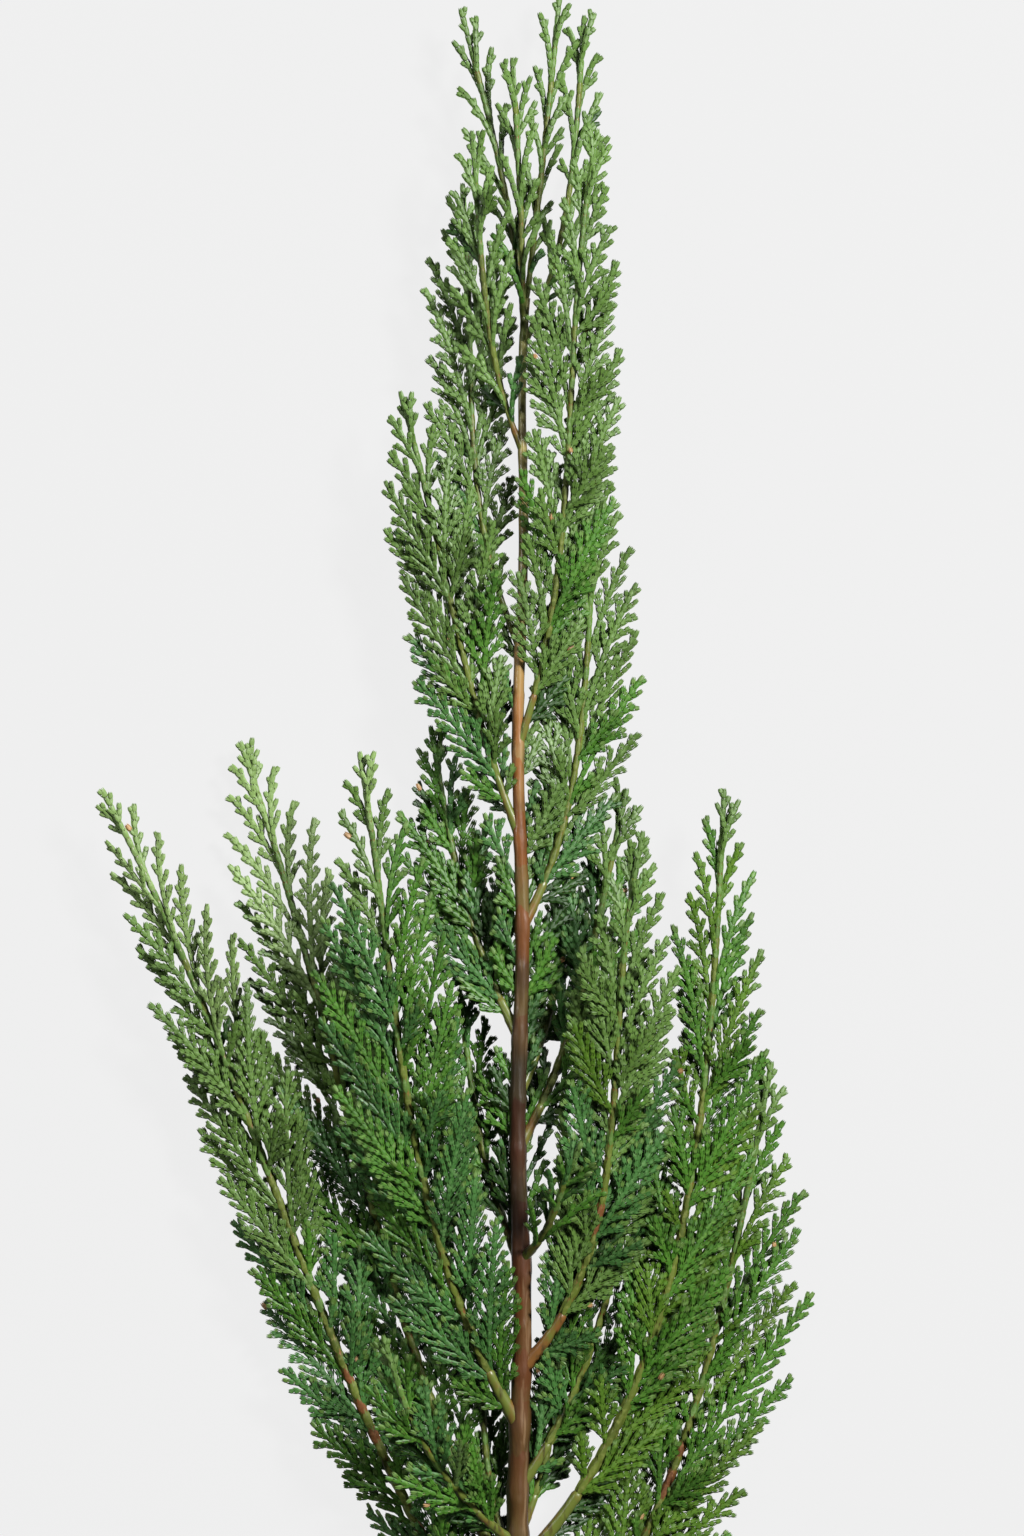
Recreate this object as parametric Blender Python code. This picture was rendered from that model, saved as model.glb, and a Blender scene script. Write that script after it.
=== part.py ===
"""A cut leading shoot of a false cypress, lying on a level surface.

The shoot lies on its back: +Y runs from the cut towards the leading tip, +X is the shoot's right
side, and +Z is up, away from the surface. Sizes are in metres.

The woody stem carries side limbs. Each limb is one flat frond: a bare foot, which is a bough of
its own, and then a mass of foliage in which short sprays leave the axis by turns on the left and
the right. A spray is a toothed blade, and each of its teeth stands for a few scale-leaved twigs.
"""

import math
import random
from collections import namedtuple

import bpy
import bmesh
from mathutils import Matrix, Vector, kdtree

MM = 0.001

# Stem
STEM_LENGTH = 287 * MM
LEADER_TOP = 346 * MM
CUT_RADIUS = 2.35 * MM
STEM_END_RADIUS = 0.62 * MM
STEM_THINNING = 0.82
STEM_SWAY = 0.45 * MM
STEM_SWAY_WAVE = 74 * MM
STEM_LEAN = 1.6 * MM
STEM_LEAN_POWER = 12
CUT_HEIGHT = 2.4 * MM
LEADER_HEIGHT = 8.0 * MM
STEM_ARCH = 8.0 * MM
STEM_STEPS = 13
STEM_SIDES = 8

# Limbs
GAP = 0.3 * MM
LIMB_STEPS = 40
LIMB_RADIUS_PER_LENGTH = 0.004
LIMB_TIP_RADIUS = 0.6 * MM
LIMB_TAPER_POWER = 0.8
LIMB_FOOT_SHARE = 0.62
LIMB_EARLY_RISE = 0.6
BOUGH_STEP = 9 * MM
BOUGH_SIDES = 6
AXIS_STEP = 16 * MM
AXIS_SIDES = 4

# Sprays
SPRAY_SPACING = 4.7 * MM
SPRAY_SHORTEST = 4.0 * MM
SPRAY_GROWTH = 0.38
FOOT_SHORTENING = 0.25
FOOT_STRETCH = 0.25
LAST_SPRAY = 2.7 * MM
SPRAY_ANGLE_AT_FOOT = math.radians(37.5)
SPRAY_ANGLE_AT_TIP = math.radians(30.5)
SPRAY_TILT = math.radians(9)
SPRAY_TWIST = math.radians(11)
SPACING_VARIATION = 0.12
LENGTH_VARIATION = 0.14
# A spray with no room at its full length is tried at the next of these shares of it
SPRAY_SHARES = (1.0, 0.72, 0.5)
ANGLE_VARIATION = 0.12
SPRAY_THICKNESS = 0.6 * MM
SPRAY_BOW = 0.07
TIP_SPRAY = 9 * MM
AXIS_END = 1.8 * MM
TWIG_HALF_WIDTH = 0.8 * MM
STALK_HALF_WIDTH = 0.64 * MM
TOOTH_SPACING = 12 * MM
TOOTH_SHARE = 0.23
TOOTH_LONGEST = 3.1 * MM
NOTCH_SHARE = 0.6
TOOTH_SLANT = 1.3
TOOTH_AT_ROOT = 0.6
TOOTH_RISE = 2.0
TOOTH_TAPER_POWER = 0.6
TOOTH_LEADS = (0.15, 0.6)
ROOT_SINK = 0.35 * MM
ROOT_HALF_WIDTH = 0.4 * MM

# Faces that meet at less than this are one flat face
FLAT_ANGLE = math.radians(0.05)
# Faces that meet at more than this keep a crisp edge
SHARP_ANGLE = math.radians(55)

# Space between masses
CLEARANCE = 1.6 * MM
BESIDE_LIMB = 1.1 * MM
SAMPLE_STEP = 1.2 * MM
LOWEST = 0.75 * MM

# One row a limb: the height on the stem where it starts, where its tip is (to the side, along
# the shoot, above the surface), its angles to the stem at foot and tip, the length of its bare
# foot, its longest spray, and its roll about its own axis.
Limb = namedtuple("Limb", "name start side top height foot_angle tip_angle bare longest roll")

LIMBS = [
    Limb("leader", 287, 7.6, 346, 9, 7, 5, 0, 9, 4),
    Limb("left_1", 278, -1.5, 332, 15, 0, 4, 5, 9, -6),
    Limb("left_2", 281, -11.3, 342, 10, 4, 15, 6, 11, 8),
    Limb("left_3", 258, -9.2, 318, 17, 24, 6, 8, 13, -8),
    Limb("left_4", 221, -11.2, 309, 8, 26, 7, 11, 16, 6),
    Limb("left_5", 185, -22.8, 269, 15, 23, 17, 12, 19, -7),
    Limb("left_6", 147, -17.0, 206, 5, 30, 9, 8, 18, 5),
    Limb("left_7", 73, -30.2, 201, 22, 32, 10, 12, 25, -6),
    Limb("left_8", 38, -53.4, 203, 5.5, 28, 20, 18, 25, 5),
    Limb("left_9", 21, -79.2, 194, 13, 36, 29, 26, 22, -9),
    Limb("left_front", 50, -25.0, 92, 24, 50, 8, 12, 16, -4),
    Limb("left_low", 44, -7.0, 88, 3.5, 26, -2, 8, 14, 4),
    Limb("left_back", 104, -11.5, 156, 4.5, 26, 6, 8, 16, 6),
    Limb("right_1", 278, 12.2, 341, 7.5, 27, 4, 8, 12, -5),
    Limb("right_2", 202, 14.8, 318, 20, 20, 12, 10, 19, 6),
    Limb("right_3", 168, 15.2, 253, 8, 30, 7, 9, 18, -6),
    Limb("right_4", 126, 20.5, 194, 6, 32, 14, 9, 18, 5),
    Limb("right_5", 84, 23.5, 186, 20, 44, 16, 13, 22, 7),
    Limb("right_6", 61, 24.7, 135, 9, 38, 12, 10, 20, -6),
    Limb("right_7", 46, 38.6, 194, 14, 44, 3, 18, 22, 6),
    Limb("right_8", 18, 48.0, 142, 5, 46, 11, 24, 30, -5),
    Limb("right_front", 105, 13.0, 128, 27, 50, 44, 7, 12, 8),
    Limb("right_low", 52, 8.0, 96, 3.5, 28, 2, 8, 14, -4),
    Limb("right_back", 136, 10.5, 178, 4.5, 28, 8, 10, 16, 5),
]

# Surfaces
BARK_COLOUR = (0.20, 0.085, 0.045, 1)
BOUGH_COLOUR = (0.22, 0.19, 0.055, 1)
FOLIAGE_COLOUR = (0.055, 0.16, 0.065, 1)
BARK_ROUGHNESS = 0.5
FOLIAGE_ROUGHNESS = 0.55


def clear_scene():
    """Removes every object of the startup scene."""
    for thing in list(bpy.data.objects):
        bpy.data.objects.remove(thing)


def new_collection(name, shown=True):
    """A collection in the scene, hidden from the render where it holds helpers."""
    group = bpy.data.collections.new(name)
    group.hide_render = not shown
    bpy.context.scene.collection.children.link(group)
    return group


def surface(name, colour, roughness):
    """A Principled material with one plain colour."""
    material = bpy.data.materials.new(name)
    material.diffuse_color = colour
    material.use_nodes = True
    shader = material.node_tree.nodes["Principled BSDF"]
    shader.inputs["Base Color"].default_value = colour
    shader.inputs["Roughness"].default_value = roughness
    shader.inputs["Metallic"].default_value = 0.0
    return material


def stem_point(up):
    """The stem's middle at this distance from the cut: a low arch that sways, and leans at its top."""
    share = up / LEADER_TOP
    height = CUT_HEIGHT + (LEADER_HEIGHT - CUT_HEIGHT) * share + STEM_ARCH * math.sin(math.pi * share)
    sway = STEM_SWAY * math.sin(2 * math.pi * up / STEM_SWAY_WAVE)
    lean = STEM_LEAN * (up / STEM_LENGTH) ** STEM_LEAN_POWER
    return Vector((sway + lean, up, height))


def stem_radius(up):
    """The stem thins from the cut to where the leader starts."""
    share = min(max(up / STEM_LENGTH, 0), 1)
    return CUT_RADIUS + (STEM_END_RADIUS - CUT_RADIUS) * share**STEM_THINNING


def limb_foot_radius(limb):
    """A limb is thick by its length, and never thicker than its share of the stem."""
    by_length = LIMB_TIP_RADIUS + LIMB_RADIUS_PER_LENGTH * limb_length(limb)
    return min(by_length, LIMB_FOOT_SHARE * stem_radius(limb.start * MM))


def limb_length(limb):
    """The straight distance from a limb's foot to its tip."""
    foot = stem_point(limb.start * MM)
    return (Vector((limb.side, limb.top, limb.height)) * MM - foot).length


def limb_path(limb):
    """Evenly spaced points from the stem's middle to the limb's tip, on one cubic curve."""
    foot = stem_point(limb.start * MM)
    tip = Vector((limb.side, limb.top, limb.height)) * MM
    outward = math.copysign(1, limb.side)
    third = (tip - foot).length / 3
    foot_turn = math.radians(limb.foot_angle) * outward
    tip_turn = math.radians(limb.tip_angle) * outward
    first = foot + third * Vector((math.sin(foot_turn), math.cos(foot_turn), 0))
    second = tip - third * Vector((math.sin(tip_turn), math.cos(tip_turn), 0))
    first.z = foot.z + (tip.z - foot.z) * LIMB_EARLY_RISE
    second.z = tip.z
    points = []
    for i in range(LIMB_STEPS + 1):
        t = i / LIMB_STEPS
        points.append(
            foot * (1 - t) ** 3
            + first * (3 * t * (1 - t) ** 2)
            + second * (3 * t * t * (1 - t))
            + tip * t**3
        )
    return points


def path_lengths(points):
    """The distance along the path at each of its points."""
    lengths = [0.0]
    for before, after in zip(points, points[1:]):
        lengths.append(lengths[-1] + (after - before).length)
    return lengths


def along(points, lengths, distance):
    """The point and the direction at this distance along a path."""
    distance = min(max(distance, 0), lengths[-1])
    for i in range(1, len(points)):
        if lengths[i] >= distance or i == len(points) - 1:
            step = points[i] - points[i - 1]
            share = (distance - lengths[i - 1]) / (lengths[i] - lengths[i - 1])
            return points[i - 1] + step * share, step.normalized()


def flat_frame(direction, roll):
    """The side and the normal of a frond that lies flat, rolled about its own direction."""
    normal = (Vector((0, 0, 1)) - direction * direction.z).normalized()
    normal = Matrix.Rotation(roll, 3, direction) @ normal
    return direction.cross(normal), normal


def lifted(direction, start, length):
    """The direction, turned up where its far end would go under the surface."""
    least = (LOWEST - start.z) / length
    if direction.z >= least:
        return direction
    flat = Vector((direction.x, direction.y, 0)).normalized()
    return (flat * math.sqrt(1 - least * least) + Vector((0, 0, least))).normalized()


def spray_length(limb, from_tip, share):
    """Sprays are short at the limb's tip, longest in its middle and shorter again at its foot."""
    grown = SPRAY_SHORTEST + SPRAY_GROWTH * from_tip
    shortened = FOOT_SHORTENING * max(0, 1 - share / FOOT_STRETCH)
    return min(grown, limb.longest * MM * (1 - shortened))


def sprays_of(limb, points, lengths):
    """Where each spray of a limb starts, its two axes and its length, by a seeded rule."""
    draw = random.Random(limb.name)
    total = lengths[-1]
    bare = limb.bare * MM
    found = []
    distance = bare + SPRAY_SPACING / 2
    side = 1 if limb.side < 0 else -1
    while distance < total - LAST_SPRAY:
        wide, far, tilt, twist, step = (draw.uniform(-1, 1) for _ in range(5))
        start, direction = along(points, lengths, distance)
        across, normal = flat_frame(direction, math.radians(limb.roll))
        share = (distance - bare) / (total - bare)
        length = spray_length(limb, total - distance, share) * (1 + LENGTH_VARIATION * far)
        angle = SPRAY_ANGLE_AT_FOOT + (SPRAY_ANGLE_AT_TIP - SPRAY_ANGLE_AT_FOOT) * share
        angle *= 1 + ANGLE_VARIATION * wide
        rise = SPRAY_TILT * tilt
        heading = direction * math.cos(angle) + across * (side * math.sin(angle))
        heading = heading * math.cos(rise) + normal * math.sin(rise)
        heading = lifted(heading, start, length)
        up = (normal - heading * normal.dot(heading)).normalized()
        up = Matrix.Rotation(SPRAY_TWIST * twist, 3, heading) @ up
        found.append((start, heading, up, length, side))
        distance += SPRAY_SPACING * (1 + SPACING_VARIATION * step)
        side = -side
    start, direction = along(points, lengths, total - TIP_SPRAY)
    _, normal = flat_frame(direction, math.radians(limb.roll))
    found.append((start, direction, normal, TIP_SPRAY, 1))
    return found


def tooth_reach(share, length):
    """How far a spray's teeth stand out at this share of its length."""
    rise = min(1, TOOTH_AT_ROOT + TOOTH_RISE * share)
    return min(length * TOOTH_SHARE, TOOTH_LONGEST) * rise * (1 - share) ** TOOTH_TAPER_POWER


def spray_outline(length, side):
    """The toothed outline of a spray in its own plane, its root at the origin and along +X."""
    count = max(1, round(length / TOOTH_SPACING))
    step = length / (count + TOOTH_LEADS[1])
    rows = []
    for lead in TOOTH_LEADS:
        row = []
        for i in range(count):
            notch = (i + lead) * step
            reach = tooth_reach(notch / length, length)
            if i:
                row.append((notch, STALK_HALF_WIDTH + reach * NOTCH_SHARE))
            row.append((notch + reach * TOOTH_SLANT, TWIG_HALF_WIDTH + reach))
        rows.append([place for place in row if place[0] < length])
    right, left = rows
    outline = [(-ROOT_SINK, ROOT_HALF_WIDTH), *right, (length, 0)]
    outline += [(x, -y) for x, y in reversed(left)]
    outline += [(-ROOT_SINK, -ROOT_HALF_WIDTH)]
    return [(x, y * side + side * SPRAY_BOW * x * x / length) for x, y in outline]


def spray_matrix(start, heading, up):
    """The place and turn of a spray's own plane."""
    across = up.cross(heading)
    turned = Matrix((heading, across, up)).transposed().to_4x4()
    return Matrix.Translation(start) @ turned


def spray_samples(length, outline, matrix):
    """Points spread over a spray, for the tests that keep masses apart."""
    points = []
    for x, y in outline:
        spine = Vector((max(0, min(x - abs(y), length)), 0, 0))
        corner = Vector((x, y, 0))
        count = max(1, round((corner - spine).length / SAMPLE_STEP))
        points += [spine.lerp(corner, i / count) for i in range(count + 1)]
    count = max(1, round(length / SAMPLE_STEP))
    points += [Vector((length * i / count, 0, 0)) for i in range(count + 1)]
    return [matrix @ p for p in points]


def too_near(points, taken):
    """Whether any of these points comes too near to what another mass or limb holds."""
    for tree, reaches in taken:
        for p in points:
            _, i, distance = tree.find(p)
            if distance < reaches[i]:
                return True
    return False


def held_space(points, reaches):
    """A search tree over the points that a body holds, with how much room each one needs."""
    tree = kdtree.KDTree(len(points))
    for i, p in enumerate(points):
        tree.insert(p, i)
    tree.balance()
    return tree, reaches


def tube(name, points, radii, sides, group):
    """A tapering round limb as a curve with filled ends, made a welded mesh."""
    curve = bpy.data.curves.new(name + "_curve", "CURVE")
    curve.dimensions = "3D"
    curve.bevel_depth = 1.0
    curve.bevel_resolution = (sides - 4) // 2
    curve.use_fill_caps = True
    curve.twist_mode = "Z_UP"
    spline = curve.splines.new("POLY")
    spline.points.add(len(points) - 1)
    for point, place, radius in zip(spline.points, points, radii):
        point.co = (*place, 1)
        point.radius = radius
        point.tilt = math.pi / sides
    return meshed(name, curve, Matrix.Identity(4), group)


def blade(name, outline, matrix, group):
    """A flat outline given its thickness, made a welded mesh."""
    curve = bpy.data.curves.new(name + "_curve", "CURVE")
    curve.dimensions = "2D"
    curve.fill_mode = "BOTH"
    curve.extrude = SPRAY_THICKNESS / 2
    spline = curve.splines.new("POLY")
    spline.points.add(len(outline) - 1)
    for point, place in zip(spline.points, outline):
        point.co = (*place, 0, 1)
    spline.use_cyclic_u = True
    return meshed(name, curve, matrix, group)


def meshed(name, curve, matrix, group):
    """The mesh of a curve, its caps welded on and its faces pointing out."""
    guide = bpy.data.objects.new(name + "_guide", curve)
    bpy.context.scene.collection.objects.link(guide)
    graph = bpy.context.evaluated_depsgraph_get()
    mesh = bpy.data.meshes.new_from_object(guide.evaluated_get(graph))
    mesh.transform(matrix)
    shape = bmesh.new()
    shape.from_mesh(mesh)
    bmesh.ops.remove_doubles(shape, verts=shape.verts, dist=0.002 * MM)
    bmesh.ops.recalc_face_normals(shape, faces=shape.faces)
    bmesh.ops.dissolve_limit(shape, angle_limit=FLAT_ANGLE, verts=shape.verts, edges=shape.edges)
    shape.to_mesh(mesh)
    shape.free()
    bpy.data.objects.remove(guide)
    bpy.data.curves.remove(curve)
    body = bpy.data.objects.new(name, mesh)
    group.objects.link(body)
    return body


def join_group(body, group):
    """Joins the group's objects to the body by one union, and removes them."""
    union = body.modifiers.new("join", "BOOLEAN")
    union.operation = "UNION"
    union.operand_type = "COLLECTION"
    union.collection = group
    apply_modifiers(body)
    for piece in list(group.objects):
        bpy.data.objects.remove(piece)
    bpy.data.collections.remove(group)


def cut_away(body, cutter):
    """Cuts the cutter's shape from the body."""
    difference = body.modifiers.new("trim", "BOOLEAN")
    difference.operation = "DIFFERENCE"
    difference.object = cutter
    apply_modifiers(body)


def apply_modifiers(body):
    """Makes the body's evaluated shape its own mesh."""
    graph = bpy.context.evaluated_depsgraph_get()
    mesh = bpy.data.meshes.new_from_object(body.evaluated_get(graph))
    body.modifiers.clear()
    body.data = mesh


def keep_largest(body):
    """Drops the scraps that a Boolean leaves loose, and the edges that it leaves in flat faces."""
    shape = bmesh.new()
    shape.from_mesh(body.data)
    bmesh.ops.dissolve_limit(shape, angle_limit=FLAT_ANGLE, verts=shape.verts, edges=shape.edges)
    left = set(shape.verts)
    islands = []
    while left:
        island, edge = set(), [left.pop()]
        while edge:
            vert = edge.pop()
            island.add(vert)
            for link in vert.link_edges:
                other = link.other_vert(vert)
                if other in left:
                    left.discard(other)
                    edge.append(other)
        islands.append(island)
    largest = max(islands, key=len)
    loose = [v for island in islands if island is not largest for v in island]
    bmesh.ops.delete(shape, geom=loose, context="VERTS")
    shape.to_mesh(body.data)
    shape.free()


def shade_round(body):
    """Shades a round limb smooth, and leaves its cut ends crisp."""
    body.data.shade_smooth()
    body.data.set_sharp_from_angle(angle=SHARP_ANGLE)


def stretch(points, lengths, begin, end, steps):
    """Evenly spaced points on a stretch of a path."""
    return [along(points, lengths, begin + (end - begin) * i / steps)[0] for i in range(steps + 1)]


def limb_radius(limb, distance, total):
    """A limb thins from its foot to its tip."""
    share = min(max(distance / total, 0), 1)
    foot = limb_foot_radius(limb)
    return foot + (LIMB_TIP_RADIUS - foot) * share**LIMB_TAPER_POWER


def make_stem(shown):
    """The woody stem, from the flat cut to where the leader's foliage starts."""
    ups = [STEM_LENGTH * i / STEM_STEPS for i in range(STEM_STEPS + 1)]
    points = [stem_point(up) for up in ups]
    body = tube("main_stem", points, [stem_radius(up) for up in ups], STEM_SIDES, shown)
    shade_round(body)
    body.data.materials.append(surface(body.name, BARK_COLOUR, BARK_ROUGHNESS))
    return body


def make_stem_cutter(helpers):
    """The stem a gap wider all round, which trims the feet of the limbs."""
    ups = [STEM_LENGTH * i / STEM_STEPS for i in range(STEM_STEPS + 1)]
    points = [stem_point(up) for up in ups]
    cutter = tube("stem_cutter", points, [stem_radius(up) + GAP for up in ups], STEM_SIDES, helpers)
    cutter.hide_render = True
    cutter.display_type = "WIRE"
    return cutter


def make_bough(limb, points, lengths, cutter, shown):
    """The bare foot of a limb, trimmed clear of the stem."""
    total, bare = lengths[-1], limb.bare * MM
    steps = max(2, round(bare / BOUGH_STEP))
    places = stretch(points, lengths, 0, bare - GAP, steps)
    radii = [limb_radius(limb, bare * i / steps, total) for i in range(steps + 1)]
    body = tube(limb.name + "_bough", places, radii, BOUGH_SIDES, shown)
    cut_away(body, cutter)
    keep_largest(body)
    shade_round(body)
    body.data.materials.append(surface(body.name, BOUGH_COLOUR, BARK_ROUGHNESS))
    return body


def make_mass(limb, points, lengths, taken, shown, helpers):
    """The foliage of a limb: its leafy axis and the sprays that find room, fused into one body."""
    total, bare = lengths[-1], limb.bare * MM
    begin = bare if limb.bare else GAP
    steps = max(2, round((total - begin) / AXIS_STEP))
    places = stretch(points, lengths, begin, total - AXIS_END, steps)
    radii = [limb_radius(limb, begin + (total - begin) * i / steps, total) for i in range(steps + 1)]
    body = tube(limb.name + "_foliage", places, radii, AXIS_SIDES, shown)
    group = bpy.data.collections.new(limb.name + "_sprays")
    helpers.children.link(group)
    held = stretch(points, lengths, begin, total, round(total / SAMPLE_STEP))
    for i, (start, heading, up, longest, side) in enumerate(sprays_of(limb, points, lengths)):
        matrix = spray_matrix(start, heading, up)
        for share in SPRAY_SHARES:
            length = longest * share
            outline = spray_outline(length, side)
            samples = spray_samples(length, outline, matrix)
            if not too_near(samples, taken):
                blade(f"{limb.name}_spray_{i}", outline, matrix, group)
                held += samples
                break
    join_group(body, group)
    keep_largest(body)
    body.data.materials.append(surface(body.name, FOLIAGE_COLOUR, FOLIAGE_ROUGHNESS))
    return body, held


def set_down(bodies):
    """Moves all bodies so that the shoot lies on z = 0 with the origin under its middle."""
    corners = [v.co for body in bodies for v in body.data.vertices]
    low = Vector(min(c[i] for c in corners) for i in range(3))
    high = Vector(max(c[i] for c in corners) for i in range(3))
    middle = (low + high) / 2
    shift = Matrix.Translation((-middle.x, -middle.y, -low.z))
    for body in bodies:
        body.data.transform(shift)


def main():
    """Builds the stem, then each limb's bough and foliage."""
    clear_scene()
    shown = new_collection("false_cypress_shoot")
    helpers = new_collection("helpers", shown=False)
    bodies = [make_stem(shown)]
    cutter = make_stem_cutter(helpers)

    stem_steps = round(STEM_LENGTH / SAMPLE_STEP)
    ups = [STEM_LENGTH * i / stem_steps for i in range(stem_steps + 1)]
    reaches = [stem_radius(up) + BESIDE_LIMB for up in ups]
    taken = [held_space([stem_point(up) for up in ups], reaches)]
    paths, axes = {}, {}
    for limb in LIMBS:
        points = limb_path(limb)
        lengths = path_lengths(points)
        paths[limb.name] = (points, lengths)
        reaches = [limb_radius(limb, distance, lengths[-1]) + BESIDE_LIMB for distance in lengths]
        axes[limb.name] = held_space(points, reaches)
        if limb.bare:
            bodies.append(make_bough(limb, points, lengths, cutter, shown))
    for limb in LIMBS:
        points, lengths = paths[limb.name]
        others = [axis for name, axis in axes.items() if name != limb.name]
        body, held = make_mass(limb, points, lengths, taken + others, shown, helpers)
        bodies.append(body)
        taken.append(held_space(held, [CLEARANCE] * len(held)))
    bpy.data.objects.remove(cutter)
    set_down(bodies)


main()
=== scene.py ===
"""A cut leading shoot of a false cypress, lying on a pale table under soft studio light.

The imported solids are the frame, and their rule is written again here and carried to finer
twigs. The stem carries limbs, a limb carries sprays by turns on its left and its right, a spray
carries twigs, a twig carries lobes, and scale leaves in crossed pairs cover them all.

Sizes are in metres. The plant is grown with the middle of its cut over the origin and +Y towards
its leading tip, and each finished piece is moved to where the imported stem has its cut.
"""

import logging
import math
import random
from bisect import bisect_left
from collections.abc import Callable
from dataclasses import dataclass, field, replace
from enum import Enum, IntEnum

import bpy
import numpy as np
from mathutils import Matrix, Vector, kdtree, noise


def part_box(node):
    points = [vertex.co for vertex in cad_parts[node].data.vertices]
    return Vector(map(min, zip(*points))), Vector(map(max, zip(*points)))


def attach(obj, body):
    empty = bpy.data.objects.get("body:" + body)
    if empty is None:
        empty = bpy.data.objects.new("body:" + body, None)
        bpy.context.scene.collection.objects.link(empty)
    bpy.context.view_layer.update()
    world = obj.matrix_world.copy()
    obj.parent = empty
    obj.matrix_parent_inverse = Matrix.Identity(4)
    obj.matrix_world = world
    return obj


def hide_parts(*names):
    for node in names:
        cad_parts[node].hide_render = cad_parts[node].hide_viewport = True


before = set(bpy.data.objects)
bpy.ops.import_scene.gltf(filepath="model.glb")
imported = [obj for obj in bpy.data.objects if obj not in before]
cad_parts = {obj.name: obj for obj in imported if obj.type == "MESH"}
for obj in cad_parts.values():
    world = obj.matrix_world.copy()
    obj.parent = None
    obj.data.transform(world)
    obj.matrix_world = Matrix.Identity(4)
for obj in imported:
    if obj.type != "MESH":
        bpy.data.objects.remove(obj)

log = logging.getLogger("false_cypress")

MM = 0.001
BODY = "root"
# The vertex value that sets the painted shade on the stem's sides and underside
PAINTED_SIDE_SHADING = "painted_side_shading"
WELDED_WITHIN = 0.002 * MM

# A colour, place or size; a range of numbers; and the places of a ramp, each with its colour
Triple = tuple[float, float, float]
Span = tuple[float, float]
Stops = tuple[tuple[float, Triple], ...]

BLACK: Triple = (0.0, 0.0, 0.0)

# The photograph's frame: its size, the scale at the stem, and where the cut would lie in it
PHOTO_WIDE_PX = 1024
PHOTO_HIGH_PX = 1536
METRES_PER_PX = 0.19 * MM
CUT_ROW_PX = 1810
STEM_COLUMN_PX = 520


class Tint(IntEnum):
    """The plain leaf colours that are dealt out by spray, one a painted shade; the number is the
    material slot.
    """

    BLOOM = 0
    GREEN = 1
    FRESH = 2
    # A painted shade: a dark green dealt to sprays that lie in the shade of others
    SHADE = 3
    YOUNG = 4
    TIP = 5
    DRY = 6
    AXIS = 7
    WOODY = 8


class Tone(Enum):
    """A limb's mix of spray colours, as shares of bloom, green, fresh, painted shade and young.

    The last two say from where on the limb its sprays are young, and from where its end's colour.
    """

    COOL = (0.68, 0.30, 0.0, 0.0, 0.02, 0.74, 0.90)
    MIXED = (0.36, 0.58, 0.02, 0.02, 0.02, 0.82, 0.96)
    AIRY = (0.32, 0.26, 0.02, 0.0, 0.40, 0.50, 0.88)
    PALE = (0.48, 0.44, 0.0, 0.0, 0.08, 0.46, 0.74)
    WARM = (0.0, 0.56, 0.42, 0.0, 0.02, 0.92, 1.5)
    YOUNG = (0.16, 0.26, 0.02, 0.0, 0.56, 0.34, 0.90)
    # A limb that lies in the shade of others; a fifth of its sprays get the painted shade colour
    DIM = (0.28, 0.50, 0.0, 0.20, 0.02, 2.0, 2.0)


def blend(first: float, last: float, share: float) -> float:
    """The value at this share of the way from the first to the last."""
    return first + (last - first) * share


def varied(draw: random.Random, variation: float) -> float:
    """A factor near 1, drawn evenly within this variation of it."""
    return 1 + variation * draw.uniform(-1, 1)


def squared(up: Vector, ahead: Vector) -> Vector:
    """An upright made square to a direction of length 1."""
    return (up - ahead * up.dot(ahead)).normalized()


def cubic_shares(t: float) -> tuple[float, float, float, float]:
    """The shares that a cubic curve takes of its four points at t, from 0 to 1."""
    return (1 - t) ** 3, 3 * t * (1 - t) ** 2, 3 * t * t * (1 - t), t**3


def search_tree(points: list[Vector]) -> kdtree.KDTree:
    """Builds a search tree that numbers the points as they come.

    Args:
        points: the points.

    Returns:
        The tree.
    """
    tree = kdtree.KDTree(len(points))
    for i, point in enumerate(points):
        tree.insert(point, i)
    tree.balance()
    return tree


@dataclass
class Path:
    """A line through space that is read by the distance along it."""

    points: list[Vector]
    lengths: list[float] = field(init=False, repr=False)

    def __post_init__(self) -> None:
        """Adds up the distance to each point."""
        self.lengths = [0.0]
        for before, after in zip(self.points, self.points[1:]):
            self.lengths.append(self.lengths[-1] + (after - before).length)

    @property
    def total(self) -> float:
        """The length of the whole line."""
        return self.lengths[-1]

    def at(self, distance: float) -> tuple[Vector, Vector]:
        """Reads the line at one distance.

        Args:
            distance: how far along the line, in metres.

        Returns:
            The point there and the line's direction.
        """
        distance = min(max(distance, 0.0), self.total)
        i = min(max(bisect_left(self.lengths, distance), 1), len(self.points) - 1)
        step = self.points[i] - self.points[i - 1]
        share = (distance - self.lengths[i - 1]) / (self.lengths[i] - self.lengths[i - 1])
        return self.points[i - 1] + step * share, step.normalized()

    def stretch(self, begin: float, end: float, steps: int) -> list[Vector]:
        """Evenly spaced points from one distance to another."""
        return [self.at(begin + (end - begin) * i / steps)[0] for i in range(steps + 1)]


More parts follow.
